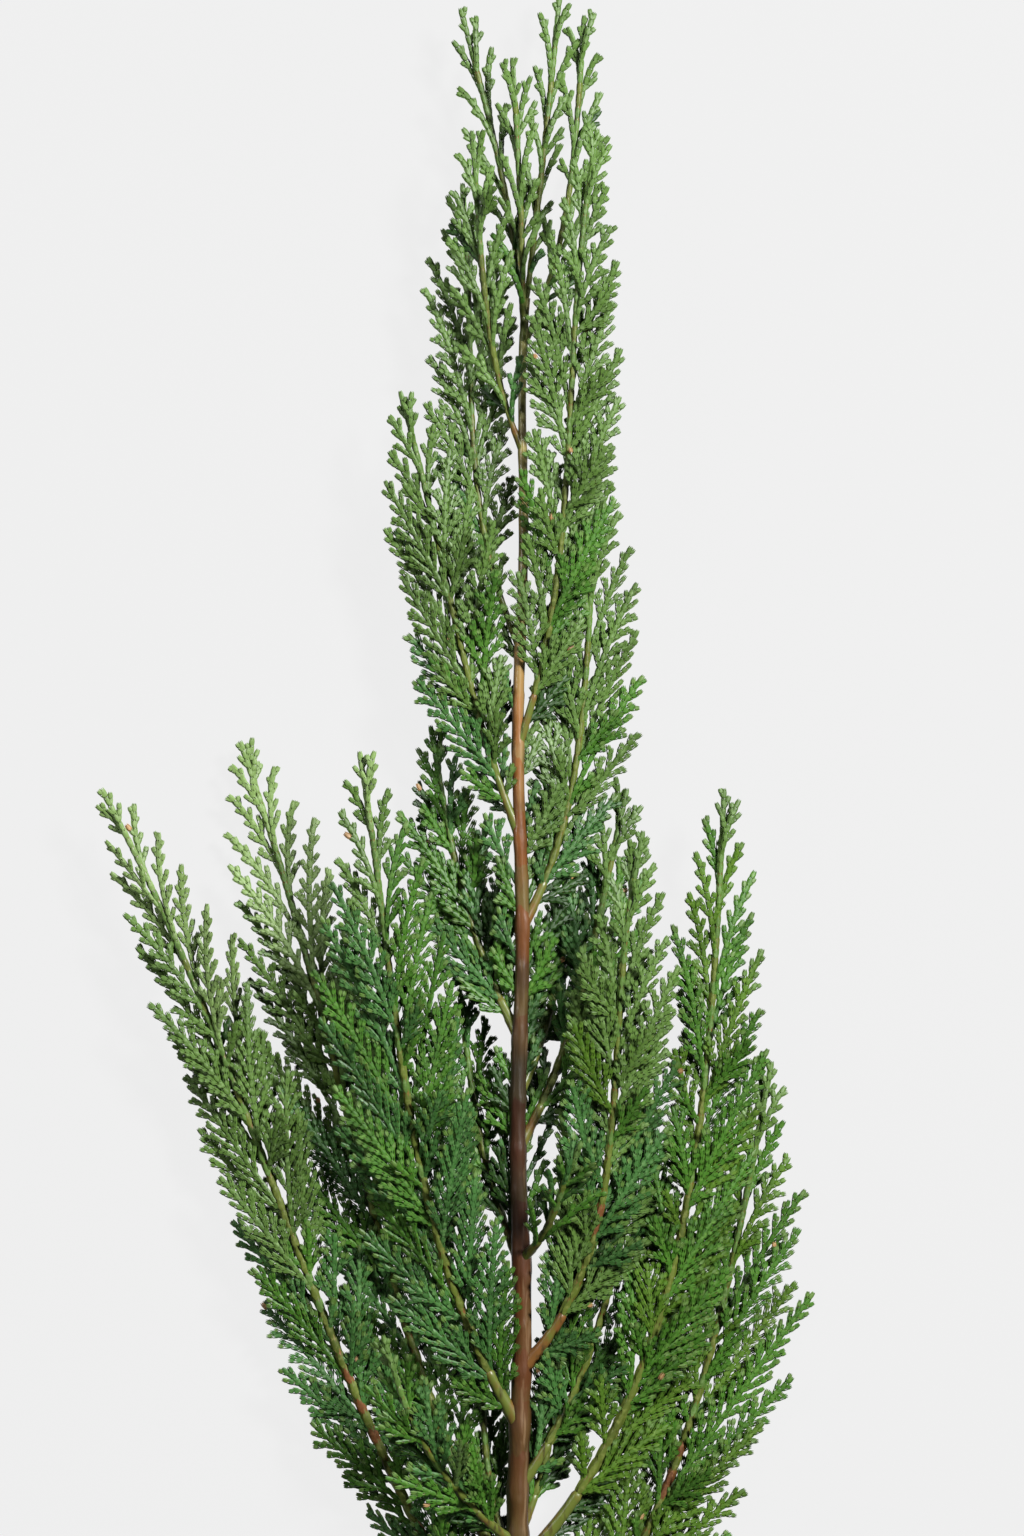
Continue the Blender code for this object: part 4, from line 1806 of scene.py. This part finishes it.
    def _last_tint(self, tint: Tint, draw: random.Random) -> Tint:
        """The colour of a twig's last whorl: often younger than the rest, and rarely dry.

        Args:
            tint: the colour of the rest.
            draw: the spray's random draws.

        Returns:
            The colour.
        """
        chance = draw.random()
        if chance < self.twig_rule.dry_chance:
            return Tint.DRY
        grown = tint in (Tint.BLOOM, Tint.GREEN, Tint.FRESH)
        if grown and chance > 1 - self.twig_rule.lighter_end:
            return Tint.YOUNG
        return tint

    def _core(self, line: Path, up: Vector, scales: Scales) -> None:
        """The woody core inside a covered line.

        Args:
            line: the line.
            up: the upright of its plane.
            scales: the whorls that cover it.
        """
        radius = scales.foot_width / 2 * self.twig_rule.core_share
        radii = [radius] * (len(line.points) - 1) + [radius * self.twig_rule.core_end]
        self.cores.add(line.points, radii, up, self.twig_rule.core_sides, TWIG_SLOT)

    def _bowed(self, shoot: Spray, bow: float, steps: int, curl: float = 0.0) -> Path:
        """A shoot's line, which bows in its own plane and may curl a little out of it.

        Args:
            shoot: the shoot.
            bow: its bend in the plane, as a share of its length.
            steps: how many straight steps it has.
            curl: its bend out of the plane, as a share of its length.

        Returns:
            The line.
        """
        across = shoot.up.cross(shoot.heading)
        points = []
        for i in range(steps + 1):
            x = shoot.length * i / steps
            bend = x * x / shoot.length
            point = shoot.start + shoot.heading * x + across * (bow * bend)
            point += shoot.up * (curl * bend)
            point.z = min(point.z, self.rule.highest)
            points.append(point)
        return Path(points)

    def _spray(self, spray: Spray, line: Path, owner: str, tint: Tint | None = None) -> None:
        """Grows one spray: its axis, then its twigs and their lobes.

        Args:
            spray: the spray.
            line: its axis.
            owner: its name in the thicket.
            tint: its colour, where the limb's tone doesn't deal it.
        """
        rule = self.twig_rule
        draw = random.Random(owner)
        looks_young = rule.youth(self.limb, spray.share) > rule.young_looks_from
        scales = YOUNG_SPRAY_SCALES if looks_young else SPRAY_SCALES
        if spray.terminal:
            scales = LEADING_SCALES
        if tint is None:
            tint = self._end_tint() if spray.terminal else self._tint(spray, draw)
        self._cover(line, spray.up, scales, tint, draw)
        self._core(line, spray.up, scales)
        held = line.stretch(line.total * rule.held_from, line.total, rule.held_steps)
        self.thicket.hold(held, owner)
        twigs = self._twigs(spray, line, owner, draw)
        scales = YOUNG_TWIG_SCALES if looks_young else TWIG_SCALES
        room = Thicket()
        for i, twig in enumerate(twigs):
            self._cover(twig.line, twig.up, scales, tint, draw)
            self._core(twig.line, twig.up, scales)
            self._hold_whole(room, twig.line, str(i))
        self._hold_whole(room, line, "axis")
        for i, twig in enumerate(twigs):
            self._lobes(twig, room, str(i), tint)

    def _twigs(self, spray: Spray, line: Path, owner: str, draw: random.Random) -> list[Twig]:
        """Grows a spray's twigs by turns on either side, where they find room.

        Args:
            spray: the spray.
            line: its axis.
            owner: its name in the thicket.
            draw: its random draws.

        Returns:
            The twigs, from its root to its tip.
        """
        rule = self.twig_rule
        youth = rule.youth(self.limb, spray.share)
        base_angle = blend(rule.twig_angle, rule.twig_angle_young, youth)
        base_angle += rule.twig_angle_spread * draw.uniform(-1, 1)
        young = rule.by_weakness(self.limb, rule.twig_spacing_young, rule.twig_spacing_slender)
        spacing = blend(rule.twig_spacing, young, youth)
        distance = max(rule.first_twig, rule.bare_share(self.limb, youth) * line.total)
        if spray.terminal:
            distance = line.total - rule.tip_twigs_from * self.rule.last
        side = spray.side
        twigs = []
        while distance < line.total - rule.last_twig:
            share = distance / line.total
            length = rule.twig_length(line.total, share, self.limb, youth)
            length *= varied(draw, rule.length_variation)
            angle = base_angle - rule.twig_angle_loss * share
            angle *= varied(draw, rule.angle_variation)
            tilt = rule.tilt * draw.uniform(-1, 1)
            place, ahead = line.at(distance)
            heading, square = self._branch(ahead, spray.up, -side * angle, tilt)
            shoot = Spray(place, heading, square, length, side, share)
            twig = self._twig(shoot, owner, draw.random())
            if twig:
                twigs.append(twig)
            distance += spacing * varied(draw, rule.spacing_variation)
            side = -side
        return twigs

    def _free(self, points: list[Vector], room: float, owner: str) -> bool:
        """Whether these points keep clear of all wood and, by this room, of the others' twigs."""
        return not self.woody.crowds(points) and not self.thicket.crowds(points, room, owner)

    def _hold_whole(self, room: Thicket, line: Path, owner: str) -> None:
        """Notes a whole line as held in a spray's own room."""
        steps = round(line.total / self.twig_rule.lobe_step)
        room.hold(line.stretch(0.0, line.total, steps), owner)

    def _spray_line(self, spray: Spray, layer: int, owner: str) -> Path:
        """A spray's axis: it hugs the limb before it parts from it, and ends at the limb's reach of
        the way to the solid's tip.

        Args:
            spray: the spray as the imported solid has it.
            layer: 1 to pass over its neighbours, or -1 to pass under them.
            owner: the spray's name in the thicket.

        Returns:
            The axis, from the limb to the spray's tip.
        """
        rule = self.twig_rule
        bare = self.limb.bare * MM
        distance = bare + spray.share * (self.path.total - bare)
        back = blend(rule.back_at_foot, rule.back_at_tip, spray.share)
        root, direction = self.path.at(max(distance - back * spray.length, rule.first_root * bare))
        youth = rule.youth(self.limb, spray.share)
        turned = spray.side * blend(rule.inward, rule.inward_when_young, youth)
        heading = Matrix.Rotation(turned, 3, spray.up) @ spray.heading
        reached = replace(spray, heading=heading, length=spray.length * self.limb.reach)
        tip = spray.start + heading * reached.length
        chord = tip - root
        third = chord.length / 3
        chord.normalize()
        opening = blend(rule.opening, rule.opening_when_young, youth)
        hugging = Matrix.Rotation(-spray.side * rule.parting, 3, spray.up) @ direction
        first = chord.lerp(hugging, rule.hugging + rule.hugging_gain * youth).normalized()
        last = Matrix.Rotation(-spray.side * opening, 3, spray.up) @ chord
        for turn in (layer, -layer, rule.shallow_turn * layer):
            lift = spray.up * (rule.layer * turn)
            near, far = root + first * third + lift, tip - last * third + lift * rule.late_lift
            points = []
            for i in range(rule.line_steps + 1):
                a, b, c, d = cubic_shares(i / rule.line_steps)
                point = root * a + near * b
                point += far * c + tip * d
                point.z = min(max(point.z, self.rule.lowest), self.rule.highest)
                points.append(point)
            line = Path(points)
            outer = line.stretch(line.total * rule.outer_from, line.total, rule.line_tests)
            if self._free(outer, rule.line_room, owner):
                return line
        return self._bowed(reached, spray.side * self.rule.bow, rule.bowed_steps)

    def _branch(self, ahead: Vector, up: Vector, turn: float, tilt: float) -> tuple[Vector, Vector]:
        """Turns a branch from its parent in their plane, then a little out of it.

        Args:
            ahead: the parent's direction.
            up: the upright of its plane.
            turn: the angle in the plane.
            tilt: the angle out of it.

        Returns:
            The branch's direction and upright.
        """
        square = squared(up, ahead)
        heading = Matrix.Rotation(turn, 3, square) @ ahead
        across = square.cross(heading)
        heading = Matrix.Rotation(tilt, 3, across) @ heading
        return heading, squared(square, heading)

    def _twig(self, shoot: Spray, owner: str, seed: float) -> Twig | None:
        """Finds room for one twig.

        Args:
            shoot: the twig at its full length.
            owner: the spray's name in the thicket.
            seed: what its lobes are drawn by.

        Returns:
            The twig, shorter where its room is, or None where it has none.
        """
        rule = self.twig_rule
        for share in rule.shares:
            size = shoot.length * share
            ahead = self.rule.lifted(shoot.heading, shoot.start, size)
            turned = replace(shoot, heading=ahead, length=size)
            line = self._bowed(turned, shoot.side * rule.twig_bow, rule.twig_steps)
            outer = line.stretch(line.total * rule.outer_from, line.total, rule.twig_tests)
            if self._free(outer, rule.twig_room, owner):
                self.thicket.hold(outer, owner)
                return Twig(line, shoot.up, shoot.side, seed)
        return None

    def _lobes(self, twig: Twig, room: Thicket, owner: str, tint: Tint) -> None:
        """Grows a twig's lobes by turns on either side, where they keep clear of its neighbours.

        Args:
            twig: the twig.
            room: what the spray's axis, twigs and lobes hold.
            owner: the twig's name in that room.
            tint: the spray's colour.
        """
        rule = self.twig_rule
        if twig.line.total < rule.lobed_from:
            return
        draw = random.Random(twig.seed)
        distance = rule.first_lobe
        side = twig.side
        while distance < twig.line.total - rule.last_lobe:
            back = side != twig.side
            grown = rule.lobe_least + rule.lobe_share * (twig.line.total - distance)
            size = min(grown, rule.lobe_longest)
            size *= varied(draw, rule.length_variation)
            size *= rule.back_shortening if back else 1.0
            turn = rule.lobe_angle * varied(draw, rule.angle_variation)
            tilt = rule.tilt * draw.uniform(-1, 1)
            if not back or draw.random() < rule.back_lobes:
                place, along = twig.line.at(distance)
                out, up = self._branch(along, twig.up, side * turn, tilt)
                for share in rule.lobe_shares:
                    length = size * share
                    ahead = self.rule.lifted(out, place, length)
                    shoot = Spray(place, ahead, up, length, side, share)
                    lobe = self._bowed(shoot, -side * rule.lobe_bow, rule.lobe_steps)
                    outer = lobe.stretch(length * rule.outer_from, length, rule.lobe_tests)
                    if not room.crowds(outer, rule.lobe_room, owner):
                        self._cover(lobe, up, LOBE_SCALES, tint, draw)
                        room.hold(outer, owner)
                        break
            distance += rule.lobe_spacing * varied(draw, rule.spacing_variation)
            side = -side


def drawn_tube(
    name: str, line: list[Vector], radii: list[float], bevel_resolution: int
) -> bpy.types.Object:
    """A tapering tube, drawn as a bevelled curve and made a closed mesh.

    Args:
        name: the object's name.
        line: the points of its middle.
        radii: its radius at each point.
        bevel_resolution: sets the number of its sides, which is 4 more than twice this.

    Returns:
        The mesh object, alone selected.
    """
    bpy.ops.object.select_all(action="DESELECT")
    bpy.ops.curve.primitive_bezier_curve_add(location=(0, 0, 0))
    tube = bpy.context.object
    tube.name = name
    curve = tube.data
    curve.splines.clear()
    spline = curve.splines.new("POLY")
    spline.points.add(len(line) - 1)
    for point, place, radius in zip(spline.points, line, radii):
        point.co = (*place, 1)
        point.radius = radius
    curve.dimensions = "3D"
    curve.twist_mode = "Z_UP"
    curve.bevel_depth = 1.0
    curve.bevel_resolution = bevel_resolution
    curve.use_fill_caps = True
    bpy.ops.object.convert(target="MESH")
    bpy.ops.object.mode_set(mode="EDIT")
    bpy.ops.mesh.select_all(action="SELECT")
    bpy.ops.mesh.remove_doubles(threshold=WELDED_WITHIN)
    bpy.ops.mesh.normals_make_consistent(inside=False)
    bpy.ops.object.mode_set(mode="OBJECT")
    tube.data.name = name
    return tube


def note_painted_side_shading(tube: bpy.types.Object) -> None:
    """Keeps with each vertex how far the bark there faces up: 0 on the underside, 1 on top.
    This sets the painted shade that darkens the stem's sides and underside.

    Args:
        tube: the plain tube.
    """
    mesh = tube.data
    values = [(1 + vertex.normal.z) / 2 for vertex in mesh.vertices]
    mesh.attributes.new(PAINTED_SIDE_SHADING, "FLOAT", "POINT").data.foreach_set("value", values)


@dataclass
class Bark:
    """The relief of a stem or limb: fibres, long leaf bases and a collar where a limb leaves."""

    line: Path
    collars: list[float]
    fibre_depth: float = 0.07
    base_depth: float = 0.13
    collar_rise: float = 0.14
    collar_reach: float = 2.2 * MM
    node_spacing: float = 8.5 * MM
    cap_share: float = 0.5
    fibre_turns: float = 3.2
    fibre_length: float = 9 * MM
    fine_share: float = 0.6
    fine_scale: float = 2.7

    def press(self, tube: bpy.types.Object, radius_at: Callable[[float], float]) -> None:
        """Moves each vertex of the tube in or out by the relief at its place.

        Args:
            tube: the plain tube.
            radius_at: gives the tube's radius at a distance along its line.
        """
        tree = search_tree(self.line.points)
        for vertex in tube.data.vertices:
            middle, i, _ = tree.find(vertex.co)
            up = self.line.lengths[i]
            out = vertex.co - middle
            _, ahead = self.line.at(up)
            out -= ahead * out.dot(ahead)
            if out.length < self.cap_share * radius_at(up):
                continue
            turn = math.atan2(out.z, out.x)
            vertex.co += out.normalized() * (radius_at(up) * self._relief(up, turn))

    def _relief(self, up: float, turn: float) -> float:
        """How far the bark stands out here, as a share of the radius.

        Args:
            up: the distance along the line.
            turn: the angle round it.

        Returns:
            The share, negative in a dip.
        """
        node = up / self.node_spacing
        ribs = max(0.0, math.cos(2 * turn + math.pi / 2 * math.floor(node))) * (node % 1) ** 2
        wide, high = math.cos(turn) * self.fibre_turns, math.sin(turn) * self.fibre_turns
        spot = Vector((wide, up / self.fibre_length, high))
        fibres = noise.noise(spot) + self.fine_share * noise.noise(spot * self.fine_scale)
        collar = sum(math.exp(-(((up - at) / self.collar_reach) ** 2)) for at in self.collars)
        relief = self.base_depth * ribs + self.fibre_depth * fibres
        return relief + self.collar_rise * min(collar, 1.0)


@dataclass
class Shoot:
    """The whole cut shoot: stem, boughs, twigs and leaves, each piece put where its solid is."""

    stem: Stem = field(default_factory=Stem)
    limb_rule: LimbRule = field(default_factory=LimbRule)
    rule: SprayRule = field(default_factory=SprayRule)
    twig_rule: TwigRule = field(default_factory=TwigRule)
    inner_rule: InnerRule = field(default_factory=InnerRule)
    axis_rule: AxisRule = field(default_factory=AxisRule)
    bark_share: float = 1.05
    ring_spacing: float = 0.8 * MM
    bevel_resolution: int = 12
    cut_facing: float = -0.9
    cut_depth: float = 0.2 * MM
    cut_ring: float = 1 * MM
    crease: float = math.radians(55)
    origin: Vector = field(init=False)

    def __post_init__(self) -> None:
        """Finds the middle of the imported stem's cut, where the plant's own origin lies."""
        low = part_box("main_stem")[0].y
        points = [v.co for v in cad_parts["main_stem"].data.vertices]
        ring = [p for p in points if p.y < low + self.cut_ring]
        middle = Vector([(min(p[i] for p in ring) + max(p[i] for p in ring)) / 2 for i in range(3)])
        self.origin = middle - self.stem.point(0)
        log.info("plant origin at %s", tuple(round(c / MM, 3) for c in self.origin))

    def build(self) -> None:
        """Builds every piece."""
        self._build_stem()
        axis_finishes = [finish.material() for finish in AXIS_FINISHES]
        leaf_finishes = [finish.material() for finish in LEAF_FINISHES]
        paths = {limb.name: self.limb_rule.path(limb, self.stem) for limb in LIMBS}
        for limb in LIMBS:
            if limb.bare:
                self._build_bough(limb, paths[limb.name])
        for mass in self._grow(paths):
            limb = mass.limb
            leaves = mass.cover.build(limb.name + "_leaves", self.origin, leaf_finishes)
            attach(leaves, BODY)
            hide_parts(limb.name + "_foliage")
            twigs = mass.cores.build(limb.name + "_twigs", self.origin, axis_finishes)
            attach(twigs, BODY)
            log.info(
                "%s: %d sprays, %d whorls, %d leaf and %d twig triangles",
                limb.name,
                len(mass.sprays),
                len(mass.cover.rows),
                len(leaves.data.polygons),
                len(twigs.data.polygons),
            )

    def _grow(self, paths: dict[str, Path]) -> list[Foliage]:
        """Grows every mass: first all sprays, then the inner shoots in the room that they leave.

        Args:
            paths: the middle line of each limb, by name.

        Returns:
            The masses, in the order of the limbs.
        """
        ups = self._spaced(self.rule.sample_step)
        reaches = [self.stem.radius(up) + self.rule.beside_limb for up in ups]
        held = [HeldSpace([self.stem.point(up) for up in ups], reaches)]
        axes = {limb.name: self._held_by_axis(limb, paths[limb.name]) for limb in LIMBS}
        woody = self._woody_room(paths)
        thicket = Thicket()
        rules = (self.limb_rule, self.rule, self.twig_rule, self.inner_rule, self.axis_rule)
        masses = []
        for limb in LIMBS:
            others = [axis for name, axis in axes.items() if name != limb.name]
            mass = Foliage(limb, self.stem, paths[limb.name], *rules, thicket, woody)
            held.append(mass.find_room(held + others))
            mass.grow()
            masses.append(mass)
        for mass in masses:
            mass.fill()
            mass.fill_beside_stem()
        return masses

    def _spaced(self, step: float) -> list[float]:
        """Distances from the cut to the stem's top, about this far apart."""
        count = round(self.stem.length / step)
        return [self.stem.length * i / count for i in range(count + 1)]

    def _held_by_axis(self, limb: Limb, path: Path) -> HeldSpace:
        """What a limb's axis holds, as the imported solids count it.

        Args:
            limb: the limb.
            path: its middle line.

        Returns:
            The room.
        """
        radii = [self.limb_rule.radius(limb, self.stem, up / path.total) for up in path.lengths]
        return HeldSpace(path.points, [radius + self.rule.beside_limb for radius in radii])

    def _woody_room(self, paths: dict[str, Path]) -> HeldSpace:
        """The room that the stem and the limbs' axes need among the twigs.

        Args:
            paths: the middle line of each limb, by name.

        Returns:
            The room.
        """
        room = self.twig_rule.limb_room
        ups = self._spaced(MM)
        points = [self.stem.point(up) for up in ups]
        reaches = [self.stem.radius(up) + room for up in ups]
        for limb in LIMBS:
            path = paths[limb.name]
            count = round((path.total - self.rule.tip_spray) / MM)
            for i in range(count + 1):
                points.append(path.at(i * MM)[0])
                share = i * MM / path.total
                reaches.append(self.limb_rule.drawn_radius(limb, self.stem, share) + room)
        return HeldSpace(points, reaches)

    def _build_stem(self) -> None:
        """The stem with its bark's relief and its clean cut."""
        ups = self._spaced(self.ring_spacing)
        line = [self.stem.point(up) for up in ups]
        radii = [self.bark_share * self.stem.radius(up) for up in ups]
        tube = drawn_tube("stem", line, radii, self.bevel_resolution)
        # For the painted shade on the stem's sides and underside
        note_painted_side_shading(tube)
        bark = Bark(Path(line), [limb.start * MM for limb in LIMBS if limb.bare])
        bark.press(tube, self.stem.radius)
        tube.data.transform(Matrix.Translation(self.origin))
        cut = self.origin + self.stem.point(0)
        top = self.origin + self.stem.point(self.stem.length)
        tube.data.materials.append(StemFinish().material(cut, top))
        tube.data.materials.append(CutWoodFinish().material(cut, self.stem.cut_radius))
        for vertex in tube.data.vertices:
            vertex.co.z = max(vertex.co.z, 0.0)
        for face in tube.data.polygons:
            if face.normal.y < self.cut_facing and face.center.y < cut.y + self.cut_depth:
                face.material_index = CUT_SLOT
        tube.data.shade_smooth()
        tube.data.set_sharp_from_angle(angle=self.crease)
        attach(tube, BODY)
        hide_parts("main_stem")
        log.info("stem: %d faces", len(tube.data.polygons))

    def _build_bough(self, limb: Limb, path: Path) -> None:
        """The bare foot of a limb, flared at the stem and sunk in its first scale leaves.

        Args:
            limb: the limb.
            path: its middle line.
        """
        rule = self.limb_rule
        bare = limb.bare * MM + rule.sunk
        count = max(rule.least_rings, round(bare / rule.ring_spacing))
        line = path.stretch(0, bare, count)

        def radius(distance: float) -> float:
            """The limb's radius, with a flare at its foot and closing at its end.

            Args:
                distance: how far along the limb.

            Returns:
                The radius.
            """
            flare = rule.flare * math.exp(-distance / rule.flare_reach)
            closing = min(1.0, rule.closed_share + (bare - distance) / rule.closing_reach)
            plain = rule.drawn_radius(limb, self.stem, distance / path.total)
            return plain * (1 + flare) * closing

        radii = [radius(bare * i / count) for i in range(count + 1)]
        tube = drawn_tube(limb.name + "_limb", line, radii, rule.bevel_resolution)
        Bark(Path(line), [], node_spacing=rule.node_spacing).press(tube, radius)
        tube.data.transform(Matrix.Translation(self.origin))
        age = rule.bark_age + rule.woody_age * limb.woody
        finish = GreenBarkFinish(limb.name + "_bark", age=age)
        tube.data.materials.append(finish.material())
        tube.data.shade_smooth()
        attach(tube, BODY)
        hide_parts(limb.name + "_bough")
        log.info("%s: %d faces", tube.name, len(tube.data.polygons))


@dataclass(frozen=True)
class Lamp:
    """A square soft box: its name, its place, its side and its power in watts."""

    name: str
    place: Triple
    size: float
    power: float


@dataclass
class Studio:
    """A pale table, two soft lights and a camera straight above, framed as the photograph is."""

    origin: Vector
    table_side: float = 6.0
    focus_height: float = 8 * MM
    camera_distance: float = 1.1
    sensor: float = 36.0
    farthest_seen: float = 20.0
    lamps: tuple[Lamp, ...] = (
        Lamp("key", (0.62, 0.48, 0.85), 0.22, 50.0),
        Lamp("fill", (-0.80, 0.30, 0.85), 0.36, 7.5),
    )
    sky: Triple = (0.98, 0.99, 1.0)
    sky_strength: float = 0.06

    def build(self) -> None:
        """Builds the table, the lights, the sky and the camera."""
        self._table()
        for lamp in self.lamps:
            self._light(lamp)
        world = bpy.data.worlds.new("studio")
        world.use_nodes = True
        background = world.node_tree.nodes["Background"]
        background.inputs["Color"].default_value = (*self.sky, 1)
        background.inputs["Strength"].default_value = self.sky_strength
        bpy.context.scene.world = world
        bpy.context.scene.view_settings.view_transform = "Standard"
        self._camera()
        log.info("studio: table, %d lights and camera", len(self.lamps))

    def _table(self) -> None:
        """The table, level at the height where the shoot rests."""
        bpy.ops.object.select_all(action="DESELECT")
        bpy.ops.mesh.primitive_plane_add(size=self.table_side, location=(0, 0, 0))
        table = bpy.context.object
        table.name = "table"
        table.data.materials.append(TableFinish().material())

    def _light(self, lamp: Lamp) -> None:
        """Adds one light that points at the middle of the table.

        Args:
            lamp: the light.
        """
        bpy.ops.object.select_all(action="DESELECT")
        bpy.ops.object.light_add(type="AREA", location=lamp.place)
        light = bpy.context.object
        light.name = lamp.name
        light.data.size = lamp.size
        light.data.energy = lamp.power
        light.rotation_mode = "QUATERNION"
        light.rotation_quaternion = (-Vector(lamp.place)).to_track_quat("-Z", "Y")

    def _camera(self) -> None:
        """The camera over the photograph's middle, looking straight down."""
        side = (PHOTO_WIDE_PX / 2 - STEM_COLUMN_PX) * METRES_PER_PX
        up = (CUT_ROW_PX - PHOTO_HIGH_PX / 2) * METRES_PER_PX
        middle = self.origin + Vector((side, up, self.focus_height))
        bpy.ops.object.select_all(action="DESELECT")
        place = middle + Vector((0, 0, self.camera_distance))
        bpy.ops.object.camera_add(location=place, rotation=(0, 0, 0))
        camera = bpy.context.object
        camera.name = "camera"
        camera.data.sensor_width = self.sensor
        camera.data.lens = self.sensor * self.camera_distance / (PHOTO_HIGH_PX * METRES_PER_PX)
        camera.data.clip_end = self.farthest_seen
        bpy.context.scene.camera = camera


def corners(box: tuple[Vector, Vector]) -> list[list[float]]:
    """A box as plain lists of numbers."""
    return [list(corner) for corner in box]


def main() -> None:
    """Builds the shoot and its studio."""
    logging.basicConfig(level=logging.INFO, format="%(name)s: %(message)s")
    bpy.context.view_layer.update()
    shoot = Shoot()
    shoot.build()
    Studio(shoot.origin).build()


if __name__ == "__main__":
    main()
